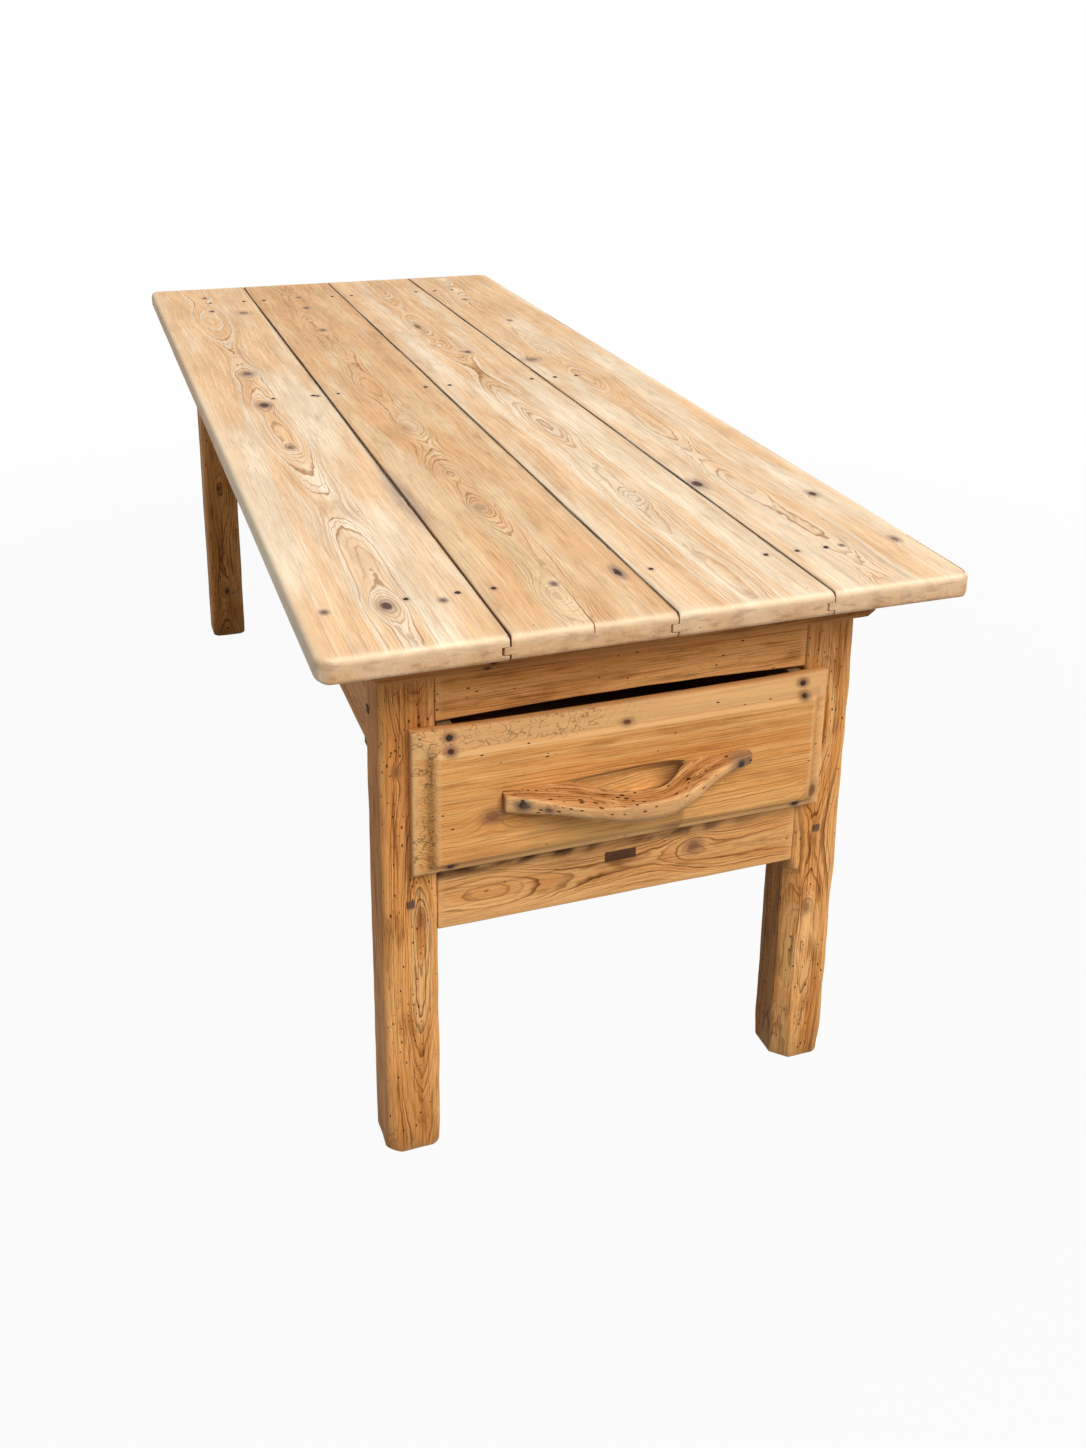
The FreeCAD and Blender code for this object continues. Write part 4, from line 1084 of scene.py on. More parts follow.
    def cut_split(self, flat_top: np.ndarray, heights: np.ndarray, place: float) -> None:
        """Sinks a narrow split, open at the front end, into the upper face of a board.

        Args:
            flat_top: Places across of the upper face, which are changed.
            heights: Levels of the upper face, which are changed.
            place: Place along the table.
        """
        gone = (place - self.front) / self.split_length
        opening = max(0.0, 1 - gone)
        sway = self.split_sway * swing(place, 25, 9.1)
        middle = self.split_front + (self.split_back - self.split_front) * gone + sway
        nearest = int(np.argmin(np.abs(flat_top - (self.split_front + self.split_back) / 2)))
        width = self.split_width * (0.25 + 0.75 * opening)
        flat_top[nearest - 1:nearest + 2] = middle - width, middle, middle + width
        heights[nearest] -= self.split_depth * min(1.0, 2.2 * opening)

    def round_end(self, points: np.ndarray, place: float, outer_left: float | None,
                  outer_right: float | None) -> None:
        """Draws a section in where it lies near a round end of the top.

        Args:
            points: Places across and levels of the section, which are changed.
            place: Place along the table.
            outer_left: Left edge of the top, if the board has it.
            outer_right: Right edge of the top, if the board has it.
        """
        distance = min(place - self.front, self.back - place)
        for level, radius, sign in ((self.top - self.top_round, self.top_round, 1),
                                    (self.under + self.under_round, self.under_round, -1)):
            fall = float(round_inset(radius, distance)) / radius
            beyond = sign * (points[:, 1] - level) > 0
            points[beyond, 1] = level + (points[beyond, 1] - level) * (1 - fall)
        inset = float(round_inset(self.corner_radius, distance))
        for edge, sign in ((outer_left, 1), (outer_right, -1)):
            if edge is None:
                continue
            away = sign * (points[:, 0] - edge)
            near = away < self.corner_radius
            drawn = inset + away[near] * (self.corner_radius - inset) / self.corner_radius
            points[near, 0] = edge + sign * drawn

    def build(self, shader: PineShader) -> None:
        """Builds and dresses the four boards.

        Args:
            shader: Node groups of the pine.
        """
        ends = [self.corner_radius * share for share in self.end_steps]
        places = spaced(self.front, self.back, self.step, ends)
        for board, finish in enumerate(self.finishes()):
            name = f"worn_top_board_{board + 1}"
            piece = loft(name, [self.section(board, place) for place in places])
            points = points_mm(piece)
            for end, sign, short in ((self.front, 1, self.front_short), (self.back, -1, self.back_short)):
                points[:, 1] += sign * short[board] * np.exp(-np.abs(points[:, 1] - end) / 30)
            move_points(piece, points)
            from_end = np.minimum(points[:, 1] - self.front, self.back - points[:, 1])
            self.mark(piece, board, points, from_end)
            ripple(piece, self.swell * smooth_step(1.5, 16, from_end), (60, 240, 60), finish.seed)
            dress(piece, finish.material(shader))
            seat(piece, TABLE, "scrubbed_pine", f"top_board_{board + 1}")

    def mark(self, piece: bpy.types.Object, board: int, points: np.ndarray, from_end: np.ndarray) -> None:
        """Stores where the outer arris of the top is rubbed pale and where the joints are dark.

        Args:
            piece: The board.
            board: Number of the board, from 0 at the left.
            points: Points of the board, in millimetres.
            from_end: Distance of each point from the nearer end of the top.
        """
        share = (points[:, 1] - self.front) / (self.back - self.front)
        away, joint = from_end.copy(), np.full(len(points), 99.0)
        for number in (board, board + 1):
            beside = points[:, 0] - self.seams[number].at(share)
            if number == 0:
                away = np.minimum(away, beside)
            elif number == len(self.seams) - 1:
                away = np.minimum(away, -beside)
            else:
                joint = np.minimum(joint, np.abs(beside))
        arris = np.hypot(np.maximum(away, 0), self.top - points[:, 2])
        pale = np.exp(-np.maximum(arris - self.arris_light, 0) / self.arris_reach)
        set_attribute(piece, "edge", pale)
        dark = 0.9 * np.exp(-np.maximum(joint - 1.2, 0) / 1.3)
        set_attribute(piece, "grime_and_shade", dark * smooth_step(0.5, 4.0, from_end))


@dataclass
class TableFrame:
    """Legs, end rails, aprons and cross bearers."""

    leg_arris: float = 6.0
    foot_round: float = 3.5
    housing: float = 1.0
    arch: float = 5.0
    end_lift: float = 14.0
    chamfer: float = 13.0
    chamfer_start: float = 326.0
    chamfer_run: float = 26.0
    crack_across: float = -171.0
    foot_wear: float = 2.6
    knock: float = 6.0
    rail_chip: float = 4.5
    dark_band_level: float = 13.0
    dark_band_reach: float = 3.4

    def __post_init__(self) -> None:
        """Takes the planes that the pieces share from the solids."""
        leg_high = box_mm("front_left_leg")[1]
        self.frame_top = box_mm("front_bearer")[0][2]
        self.leg_inner = -leg_high[0]
        self.front_back = leg_high[1]
        self.rear_front = box_mm("rear_left_leg")[0][1]

    @staticmethod
    def timber(node: str, grain: Grain, seed: float, box: tuple[np.ndarray, np.ndarray],
               look: dict[str, object], **form: object) -> Timber:
        """Timber of amber pine.

        Args:
            node: Name of the timber's node.
            grain: How the wood lies.
            seed: Shifts the pattern, so that timbers differ.
            box: Lowest corner, from which the pattern is measured, and highest corner.
            look: Values of its finish that differ from those of the other timbers.
            form: Values of its shape that differ from the usual ones.

        Returns:
            The timber.
        """
        values = {"tone": AMBER, "ring": 2.9, "lines": 1.0, "bleaching": 0.5, "worms": 0.5,
                  "roughness": 0.55, "grit": 1.0, **look}
        finish = PineFinish(f"amber_pine_{node}", grain, seed=seed, origin=plain_point(box[0]), **values)
        return Timber(f"worn_{node}", TABLE, "frame_pine", finish, *box, nodes=(node,), **form)

    def leg_wear(self, node: str) -> Callable[[int, float], tuple[float, float]]:
        """Wear of a leg's four arrises.

        Args:
            node: Name of the leg's node.

        Returns:
            Function that gives the wear at a corner and a height.
        """
        def worn(corner: int, height: float) -> tuple[float, float]:
            """Wear of one arris.

            Args:
                corner: Number of the corner.
                height: Height above the floor.

            Returns:
                Extra radius, and how flat it is.
            """
            uneven = 1.2 + swing(corner * 40, 30, 3.3)
            foot = self.foot_wear * float(1 - smooth_step(0, 45, height)) * uneven
            if node == "front_right_leg" and corner == 0:
                cut = 1 - smooth_step(self.chamfer_start - self.chamfer_run, self.chamfer_start, height)
                return 0.4 * foot + self.chamfer * float(cut), 0.35 + 0.6 * float(cut)
            if node == "front_left_leg" and corner == 0:
                knocks = smooth_step(0.0, 0.5, swing(height, 150, 8.8)) * smooth_step(600, 420, height)
                return 2.2 * foot + self.knock * float(knocks), 0.6
            return foot, 0.45
        return worn

    def leg_dirt(self, points: np.ndarray) -> np.ndarray:
        """Dirt that creeps up the legs from the floor, and painted shade on the inner faces of the
        right-hand legs.

        Args:
            points: Points of a leg, in millimetres.

        Returns:
            How dark each point is, from 0 to 1.
        """
        patches = 0.5 + 0.5 * wobble(points, (22, 22, 40), 5.5)
        across = points[:, 0]
        # Painted shade: the inner faces of the right-hand legs are darkened as they face away from the
        # light
        inner_shade = smooth_step(self.leg_inner + 5, self.leg_inner + 1, across) * (across > 0)
        return np.maximum(0.85 * np.exp(-points[:, 2] / 40) * patches, 0.42 * inner_shade)

    def legs(self) -> list[Timber]:
        """The four legs.

        Returns:
            The timbers.
        """
        looks = {
            "front_left_leg": ((44, 26), (Knot(352, 47, 6, core=0.3, halo=0.2, swell=6, stretch=3),
                                          Knot(560, 20, 4, core=0.3, swell=4))),
            "front_right_leg": ((30, 30), (Knot(250, 30, 5, core=0.3, swell=5),)),
            "rear_left_leg": ((30, 34), (Knot(110, 34, 5, swell=5), Knot(360, 30, 4, swell=4))),
            "rear_right_leg": ((44, 36), (Knot(200, 30, 5, swell=5), Knot(470, 44, 4, swell=4))),
        }
        made = []
        for number, (node, (pith, knots)) in enumerate(looks.items()):
            low, high = box_mm(node)
            high[2] = self.frame_top
            look = dict(knots=knots, pith=pith, wander=(8.0, 22.0), wander_length=340.0, heart=52.0,
                        worms=1.3, lines=0.9, grit=1.4, bleaching=0.75)
            made.append(self.timber(
                node, Grain.UPRIGHT, 21.3 + 1.9 * number, (low, high), look, arris=self.leg_arris, wear=0.6,
                end_rounds=(self.foot_round, 1.0), extra=self.leg_wear(node), swell=0.6,
                dirt=self.leg_dirt))
        return made

    def clipped(self, node: str, axis: int, low_end: float,
                high_end: float) -> tuple[np.ndarray, np.ndarray]:
        """Box of a timber without its tenons.

        Args:
            node: Name of the timber's node.
            axis: Number of the axis along which it runs.
            low_end: Plane at which its first shoulder stands.
            high_end: Plane at which its other shoulder stands.

        Returns:
            Lowest and highest corner.
        """
        low, high = box_mm(node)
        low[axis], high[axis] = low_end - self.housing, high_end + self.housing
        return low, high

    def arched(self, points: np.ndarray) -> np.ndarray:
        """Hollows the lower edge of the upper rail.

        Args:
            points: Points of the rail, which are changed.

        Returns:
            The same points.
        """
        low, high = box_mm("upper_end_rail")
        share = (high[2] - points[:, 2]) / (high[2] - low[2])
        points[:, 2] += self.arch * (1 - (points[:, 0] / self.leg_inner) ** 2) * np.clip(share, 0, 1)
        return points

    def darkened_rail_edges(self, points: np.ndarray) -> np.ndarray:
        """Darkening along the upper edge of the lower rail towards its left end, and along its lower arris.

        Args:
            points: Points of the rail.

        Returns:
            How dark each point is, from 0 to 1.
        """
        low, high = box_mm("lower_end_rail")
        patches = 0.35 + 0.65 * smooth_step(-0.15, 0.35, wobble(points, (22, 40, 14), 7.3))
        below = np.maximum(high[2] - self.dark_band_level - points[:, 2], 0)
        upper = np.exp(-below / self.dark_band_reach) * patches * smooth_step(300, 40, points[:, 0])
        return np.maximum(upper, 0.6 * np.exp(-np.maximum(points[:, 2] - low[2], 0) / 1.6) * patches)

    def chipped(self, corner: int, place: float) -> tuple[float, float]:
        """Chips in the upper front arris of the lower rail.

        Args:
            corner: Number of the corner.
            place: Place along the rail.

        Returns:
            Extra radius, and how flat it is.
        """
        if corner == 1:
            return self.rail_chip * max(0.0, swing(place, 22, 6.1)) + 1.0, 0.7
        return 0.0, 0.35

    def rails(self) -> list[Timber]:
        """Upper and lower rail of the drawer end, and the rear rail.

        Returns:
            The timbers.
        """
        lower_knots = (Knot(345, 52, 8, core=0.35, halo=0.6, swell=8, stretch=1.2),)
        looks = {
            "upper_end_rail": dict(pith=(-60, 40), wander=(5.0, 6.0), wander_length=420.0, ring=2.8,
                                   lines=0.5, worms=0.35, bleaching=0.3, heart=200.0, grit=1.25),
            "lower_end_rail": dict(pith=(40, 34), wander=(16.0, 26.0), wander_length=300.0, lines=0.9,
                                   tone=LIGHT_AMBER, worms=0.06, heart=60.0, knots=lower_knots),
            "rear_end_rail": dict(pith=(50, -10), wander=(10.0, 22.0), wander_length=330.0, heart=50.0),
        }
        worn = {"upper_end_rail": dict(shape=self.arched),
                "lower_end_rail": dict(extra=self.chipped, dirt=self.darkened_rail_edges)}
        made = []
        for number, (node, look) in enumerate(looks.items()):
            box = self.clipped(node, 0, -self.leg_inner, self.leg_inner)
            made.append(self.timber(node, Grain.ACROSS, 41.7 + 2.3 * number, box, look, arris=2.0,
                                    flat_step=6.0, **worn.get(node, {})))
        return made

    def aprons(self) -> list[Timber]:
        """The two long aprons.

        Returns:
            The timbers.
        """
        look = dict(pith=(90, -12), wander=(16.0, 26.0), wander_length=460.0, heart=50.0,
                    knots=(Knot(420, 70, 8, core=0.6), Knot(980, 110, 7), Knot(1440, 60, 9, core=0.5)))
        made = []
        for number, node in enumerate(("left_apron", "right_apron")):
            box = self.clipped(node, 1, self.front_back, self.rear_front)
            made.append(self.timber(node, Grain.SIDE, 53.9 + 3.1 * number, box, look, arris=2.2, step=12.0))
        return made

    def lifted(self, low: np.ndarray, high: np.ndarray) -> Callable[[np.ndarray], np.ndarray]:
        """Rounding of the lower corners of a bearer's ends.

        Args:
            low: Lowest corner of the bearer.
            high: Highest corner of the bearer.

        Returns:
            Function that moves the bearer's points and gives them back.
        """
        def lift(points: np.ndarray) -> np.ndarray:
            """Moves points of the bearer up near its ends.

            Args:
                points: Points of the bearer, which are changed.

            Returns:
                The same points.
            """
            away = np.minimum(points[:, 0] - low[0], high[0] - points[:, 0])
            share = (high[2] - points[:, 2]) / (high[2] - low[2])
            points[:, 2] += round_inset(self.end_lift, np.maximum(away, 0)) * np.clip(share, 0, 1)
            return points
        return lift

    def bearers(self) -> list[Timber]:
        """Cross bearers under the two ends of the top.

        Returns:
            The timbers.
        """
        made = []
        for number, node in enumerate(("front_bearer", "rear_bearer")):
            low, high = box_mm(node)
            start = self.crack_across - low[0]
            crack = (Knot(start, 17, 3.4, swell=0, core=0.95, halo=0.7, stretch=1.6),
                     Knot(start - 7, 10, 3.0, swell=0, core=0.95, halo=0.6, stretch=1.8),
                     Knot(start - 15, 4, 2.4, swell=0, core=0.9, halo=0.5, stretch=2.2))
            # The darker tone is painted shade, standing for the shadow of the top's overhang on the bearers
            look = dict(pith=(80, 55), tone=PAINTED_SHADE_AMBER, knots=crack if node == "front_bearer" else (),
                        wander=(8.0, 8.0), wander_length=420.0, lines=0.8, worms=0.3, heart=200.0,
                        grit=1.5, bleaching=0.2)
            made.append(self.timber(node, Grain.ACROSS, 61.3 + 2.7 * number, (low, high), look, arris=2.5,
                                    shape=self.lifted(low, high)))
        return made

    def build(self, shader: PineShader) -> None:
        """Builds and dresses every timber of the frame."""
        for timber in self.legs() + self.rails() + self.aprons() + self.bearers():
            timber.build(shader)


@dataclass
class DrawerFront:
    """Raised and fielded drawer front with a scooped hollow behind its pull."""

    margins: tuple[float, float, float, float] = (30.0, 23.0, 36.0, 17.0)
    edge: float = 13.5
    arris: float = 3.0
    top_drop: float = 3.0
    top_hollow: float = 4.0
    step: float = 4.0
    rim_across: tuple[float, ...] = (-120.0, -71.0, -30.0, 14.0, 50.0, 70.0)
    rim_level: tuple[float, ...] = (524.0, 526.0, 528.0, 529.5, 528.5, 526.0)
    scoop_low: float = 484.0
    scoop_depths: tuple[float, float] = (2.5, 11.0)
    swell: float = 0.5

    def __post_init__(self) -> None:
        """Takes the outline from the solid."""
        self.low, self.high = box_mm("drawer_front")

    def ways_in(self, across: np.ndarray, up: np.ndarray) -> tuple[np.ndarray, ...]:
        """Distances of places on the face from its left, right, upper and lower edge."""
        return across - self.low[0], self.high[0] - across, self.high[2] - up, up - self.low[2]

    def raised(self, across: np.ndarray, up: np.ndarray) -> np.ndarray:
        """How far places lie up the bevels: 0 at the outer edge, 1 at the field and more inside it."""
        ways = self.ways_in(across, up)
        return np.min([way / margin for way, margin in zip(ways, self.margins)], axis=0)

    def depth(self, across: np.ndarray, up: np.ndarray) -> np.ndarray:
        """Thickness of the front.

        Args:
            across: Places across the table.
            up: Levels.

        Returns:
            The thickness at each place.
        """
        raised = self.raised(across, up)
        full = self.high[1] - self.low[1]
        bevel = 0.36 * np.clip(raised / 0.62, 0, 1) + 0.64 * smooth_step(0.58, 1.02, raised)
        depth = self.edge + (full - self.edge) * bevel
        rim = np.interp(across, self.rim_across, self.rim_level)
        fall = np.clip((rim - up) / (rim - self.scoop_low), 0, 1)
        bowl = np.minimum(fall / 0.3, 1) ** 0.7 * smooth_step(1.0, 0.6, fall)
        bowl *= smooth_step(self.rim_across[-1], self.rim_across[-1] - 9, across)
        bowl *= smooth_step(self.rim_across[0], self.rim_across[0] + 40, across)
        shallow, deep = self.scoop_depths
        depth -= bowl * (shallow + (deep - shallow) * smooth_step(-70, 50, across))
        return depth - round_inset(self.arris, np.min(self.ways_in(across, up), axis=0))

    def finish(self) -> PineFinish:
        """Golden pine with rust-stained nail holes.

        Returns:
            The finish.
        """
        nails = tuple(stain(along, level, 4.2, 0.75) for along in (46, 514) for level in (183, 167, 10))
        knots = (Knot(96, 73, 8, core=0.45, halo=0.6, swell=14, stretch=1.3),
                 Knot(537, 24, 11, core=0.7, halo=0.5, stretch=0.8),
                 Knot(270, 169, 3, core=0.9, swell=3, stretch=2.2))
        return PineFinish(
            "golden_pine_drawer_front", Grain.ACROSS, GOLDEN, 71.3, plain_point(self.low), pith=(-40, 95),
            wander=(10.0, 10.0), wander_length=520.0, ring=2.9, lines=0.75, bleaching=0.3, worms=0.2,
            heart=400.0, knots=knots + nails)

    def grid(self) -> tuple[np.ndarray, np.ndarray]:
        """Places of the face's points, closer together at its edges and at the rim of the hollow.

        Returns:
            Places across and levels, in rows from the lower edge upwards.
        """
        ends = [0, 0.2, 0.7, 1.6, self.arris]
        across = spaced(self.low[0], self.high[0], self.step, ends)
        up = spaced(self.low[2], self.high[2], self.step, ends)
        near_end = np.arange(-9.0, 1.5, 1.5) + self.rim_across[-1]
        near_rim = np.arange(min(self.rim_level) - 9, max(self.rim_level) + 2, 1.2)
        across, up = (np.unique(np.concatenate(both)) for both in ((across, near_end), (up, near_rim)))
        return np.meshgrid(across, up)

    @staticmethod
    def faces(rows: int, columns: int) -> list[Sequence[int]]:
        """Faces of two equal grids of points, joined round their rims.

        Args:
            rows: Rows of points in a grid.
            columns: Points in a row.

        Returns:
            Vertex numbers of each face.
        """
        size = rows * columns
        number = np.arange(size).reshape(rows, columns)
        made: list[Sequence[int]] = []
        for row in range(rows - 1):
            for column in range(columns - 1):
                quad = (number[row, column], number[row, column + 1],
                        number[row + 1, column + 1], number[row + 1, column])
                made += [quad, tuple(size + corner for corner in reversed(quad))]
        rim = np.concatenate([number[0, :-1], number[:-1, -1], number[-1, :0:-1], number[:0:-1, 0]])
        for start, end in zip(rim, np.roll(rim, -1)):
            made.append((start, size + start, size + end, end))
        return made

    def build(self, shader: PineShader) -> None:
        """Builds and dresses the front.

        Args:
            shader: Node groups of the pine.
        """
        grid_x, grid_z = self.grid()
        across, up = grid_x.ravel(), grid_z.ravel()
        depth = self.depth(grid_x, grid_z)
        worn = self.swell * wobble(np.column_stack([across, up, 0 * across]), (90, 24, 1), 6.6)
        face_y = self.high[1] - depth - worn.reshape(depth.shape) * (depth > self.edge)
        middle = (self.low[0] + self.high[0]) / 2
        sag = self.top_drop + self.top_hollow * (1 - ((across - middle) / (self.high[0] - middle)) ** 4)
        level = up - sag * smooth_step(self.high[2] - self.margins[2], self.high[2], up)
        face = np.column_stack([across, np.maximum(face_y.ravel(), self.low[1]), level])
        back = np.column_stack([across, np.full(across.size, self.high[1]), level])
        piece = mesh_object("fielded_drawer_front", np.vstack([face, back]), self.faces(*grid_x.shape))
        self.mark(piece, across, up)
        dress(piece, self.finish().material(shader))
        seat(piece, DRAWER, "drawer_pine", "drawer_front")

    def mark(self, piece: bpy.types.Object, across: np.ndarray, up: np.ndarray) -> None:
        """Stores where the face is rubbed pale and eaten by worms, and its painted highlights and painted
        shade; the back stays plain.

        Args:
            piece: The drawer front.
            across: Place across the table of each point of the face.
            up: Level of each point of the face.
        """
        raised = self.raised(across, up)
        left, _, top, _ = self.ways_in(across, up)
        on_left, on_top = left < self.margins[0], top < self.margins[2]
        outer = np.exp(-np.min(self.ways_in(across, up), axis=0) / 9)
        # Painted highlight along the field's crest and over the upper bevel, which faces the light; outer
        # is wear on the rim
        crest = np.exp(-((raised - 0.96) / 0.14) ** 2) * np.where(on_top, 0.9, 0.45)
        pale = np.max([outer, crest, 0.75 * on_top * smooth_step(1.0, 0.7, raised)], axis=0)

        bevel = smooth_step(1.0, 0.8, raised)
        eaten = np.maximum(on_left * bevel, 0.8 * (on_top * bevel * smooth_step(330, 200, left)))

        # Painted shade in the inner slope of the bevels, darkest on the left, and in the scoop and under
        # the rim behind the pull
        end = self.rim_across[-1]
        below = np.interp(across, self.rim_across, self.rim_level) - up
        hollow = np.exp(-((raised - 0.7) / 0.16) ** 2) * np.where(on_left, 1.0, 0.6)
        sunk = smooth_step(0.0, 10.0, below) * smooth_step(20, 64, across)
        sunk *= smooth_step(end + 3, end - 3, across)
        lip = np.exp(-((below - 1.5) / 1.8) ** 2) * smooth_step(-112, -60, across)
        lip *= smooth_step(end + 2, end - 4, across)
        dark = np.max([0.45 * hollow, 0.5 * sunk, 0.75 * lip], axis=0)
        for name, values in (("edge", pale), ("tracks", eaten), ("grime_and_shade", dark)):
            set_attribute(piece, name, np.concatenate([values, np.zeros(across.size)]))


@dataclass
class DrawerPull:
    """Bowed branch, flat on top and round in front, that thins towards its ends.

    Each station gives the place across, how far the outer and inner face stand out from the drawer
    front, the upper and lower level, and how square the section is.
    """

    stations: tuple[tuple[float, ...], ...] = (
        (-171.5, 13, -0.5, 527, 502, 7.0),
        (-150, 20, -0.5, 527, 500, 5.5),
        (-125, 30, -0.5, 526, 497, 3.8),
        (-85, 47, 1.0, 524, 492, 3.0),
        (-45, 59, 26, 520, 486, 2.7),
        (-6, 61, 38, 518, 482, 2.6),
        (30, 58, 33, 518, 481, 2.6),
        (66, 46, 5.0, 524, 486, 2.8),
        (100, 30, -0.5, 527, 500, 3.0),
        (130, 18, -0.5, 528, 506, 3.2),
        (159.5, 8, -0.5, 527, 509, 3.4),
    )
    top_round: float = 3.5
    top_slope: float = 0.24
    top_dish: float = 1.2
    flat_count: int = 9
    shoulder_count: int = 5
    end_round: float = 3.0
    step: float = 4.0
    swell: float = 0.9

    def __post_init__(self) -> None:
        """Takes the plane of the drawer front's face from the solid."""
        self.face = box_mm("drawer_front")[0][1]

    def section(self, across: float) -> np.ndarray:
        """Ring of the pull's surface at a place across, as distances out from the face and levels.

        Args:
            across: Place across the table.

        Returns:
            Points from the inner upper edge along the flat top, round the front and up the inner face.
        """
        _, outer, inner, top, low, square = self.at(across)
        end = min(across - self.stations[0][0], self.stations[-1][0] - across)
        shrink = float(round_inset(self.end_round, max(end, 0.0))) * 0.6
        outer, top, low = outer - shrink, top - shrink, low + shrink
        width, round_top = outer - inner, min(self.top_round, (outer - inner) / 3)
        flat = np.linspace(inner, outer - round_top, self.flat_count)
        dish = self.top_dish * np.sin(np.linspace(0, math.pi, self.flat_count)) * min(1.0, width / 25)
        upper = np.column_stack([flat, top - dish])
        turn = np.linspace(0, math.pi / 2, self.shoulder_count + 1)[1:]
        shoulder = np.column_stack([outer - round_top + round_top * np.sin(turn),
                                    top - round_top + round_top * np.cos(turn)])
        turn = np.linspace(0, math.pi / 2, 15)[1:]
        belly = np.column_stack([inner + 0.25 * width + 0.75 * width * np.cos(turn) ** (2 / square),
                                 top - round_top - (top - round_top - low) * np.sin(turn) ** (2 / square)])
        rise = np.linspace(0, 1, 8)[1:-1]
        heel = inner + 0.25 * width * (1 - np.sin(rise * math.pi / 2))
        inner_face = np.column_stack([heel, low + (top - low) * rise ** 1.4])
        ring = np.vstack([upper, shoulder, belly, inner_face])
        height = np.clip((ring[:, 1] - low) / (top - low), 0, 1)
        ring[:, 1] -= self.top_slope * (ring[:, 0] - inner) * height
        return ring

    def at(self, across: float) -> np.ndarray:
        """Station values on a smooth curve through the stations.

        Args:
            across: Place across the table.

        Returns:
            The values at that place, in the order of a station.
        """
        table = np.array(self.stations)
        index = int(np.clip(np.searchsorted(table[:, 0], across) - 1, 0, len(table) - 2))
        start, end = table[index], table[index + 1]
        before, after = table[max(index - 1, 0)], table[min(index + 2, len(table) - 1)]
        span = end[0] - start[0]
        share = (across - start[0]) / span
        slope_start = (end - before) / max(end[0] - before[0], 1e-6) * span
        slope_end = (after - start) / max(after[0] - start[0], 1e-6) * span
        square, cube = share ** 2, share ** 3
        return ((2 * cube - 3 * square + 1) * start + (cube - 2 * square + share) * slope_start
                + (3 * square - 2 * cube) * end + (cube - square) * slope_end)

    def build(self, shader: PineShader) -> None:
        """Builds and dresses the pull, and stores where each point lay in the branch.

        Args:
            shader: Node groups of the pine.
        """
        left, right = self.stations[0][0], self.stations[-1][0]
        places = spaced(left, right, self.step, [0, 0.25, 0.9, 2.0, 4.0])
        rings, grain = [], []
        for place in places:
            section = self.section(place)
            run = np.full(len(section), place)
            rings.append(np.column_stack([run, self.face - section[:, 0], section[:, 1]]))
            offset = section - (section.min(axis=0) + section.max(axis=0)) / 2
            grain.append(np.column_stack([run, offset[:, 1], offset[:, 0]]))
        piece = loft("branch_pull", rings)
        ripple(piece, self.swell, (26, 14, 14), 12.4)
        stored = piece.data.attributes.new("branch", "FLOAT_VECTOR", "POINT")
        stored.data.foreach_set("vector", np.vstack(grain).astype(np.float32).ravel())
        self.mark(piece, len(rings), len(rings[0]))
        dress(piece, self.finish().material(shader))
        seat(piece, DRAWER, "handle_wood", "drawer_handle")

    def mark(self, piece: bpy.types.Object, rings: int, count: int) -> None:
        """Stores a painted highlight along the pull's round front, and painted shade under its belly.

        Args:
            piece: The pull.
            rings: Number of its rings.
            count: Points in a ring.
        """
        points = points_mm(piece)
        order = np.arange(count)
        # Painted highlight along the round front, which faces the light
        lit_front = np.clip((order - self.flat_count + 2) / 4, 0, 1)
        lit_front *= np.clip((count - order) / 9, 0, 1)
        pale = 0.62 * np.tile(lit_front, rings) * smooth_step(150, 116, points[:, 0])
        set_attribute(piece, "edge", pale)
        # Painted shade under the belly, which faces down, away from the light
        past = order - self.flat_count - self.shoulder_count
        belly = smooth_step(1, 9, past) * smooth_step(24, 18, past)
        rough = 0.6 + 0.5 * wobble(points, (16, 12, 12), 31.7)
        set_attribute(piece, "grime_and_shade", 0.75 * np.tile(belly, rings) * np.clip(rough, 0, 1))

    @staticmethod
    def finish() -> PineFinish:
        """Dark branch wood with stains round its nails, which follows the bow of the pull.

        Returns:
            The finish.
        """
        knots = (stain(-151, 0, 5, 0.9), stain(140, 0, 5, 0.9), stain(-123, -3, 3, 0.7),
                 Knot(143, -2, 9, swell=0, core=0, halo=0.6, stretch=1.6))
        return PineFinish(
            "branch_wood", Grain.ACROSS, BRANCH, 84.7, pith=(4, 3), wander=(5.0, 5.0), wander_length=120.0,
            lines=0.75, worms=1.6, worm_size=1.4, grit=1.6, heart=60.0, knots=knots, roughness=0.45,
            grain_attribute="branch")


class Facing(Enum):
    """Way in which the head of a fastener looks, as turns about X and Z in degrees."""

    UP = (0.0, 0.0)
    FRONT = (90.0, 0.0)
    REAR = (90.0, 180.0)
    LEFT = (90.0, -90.0)
    RIGHT = (90.0, 90.0)


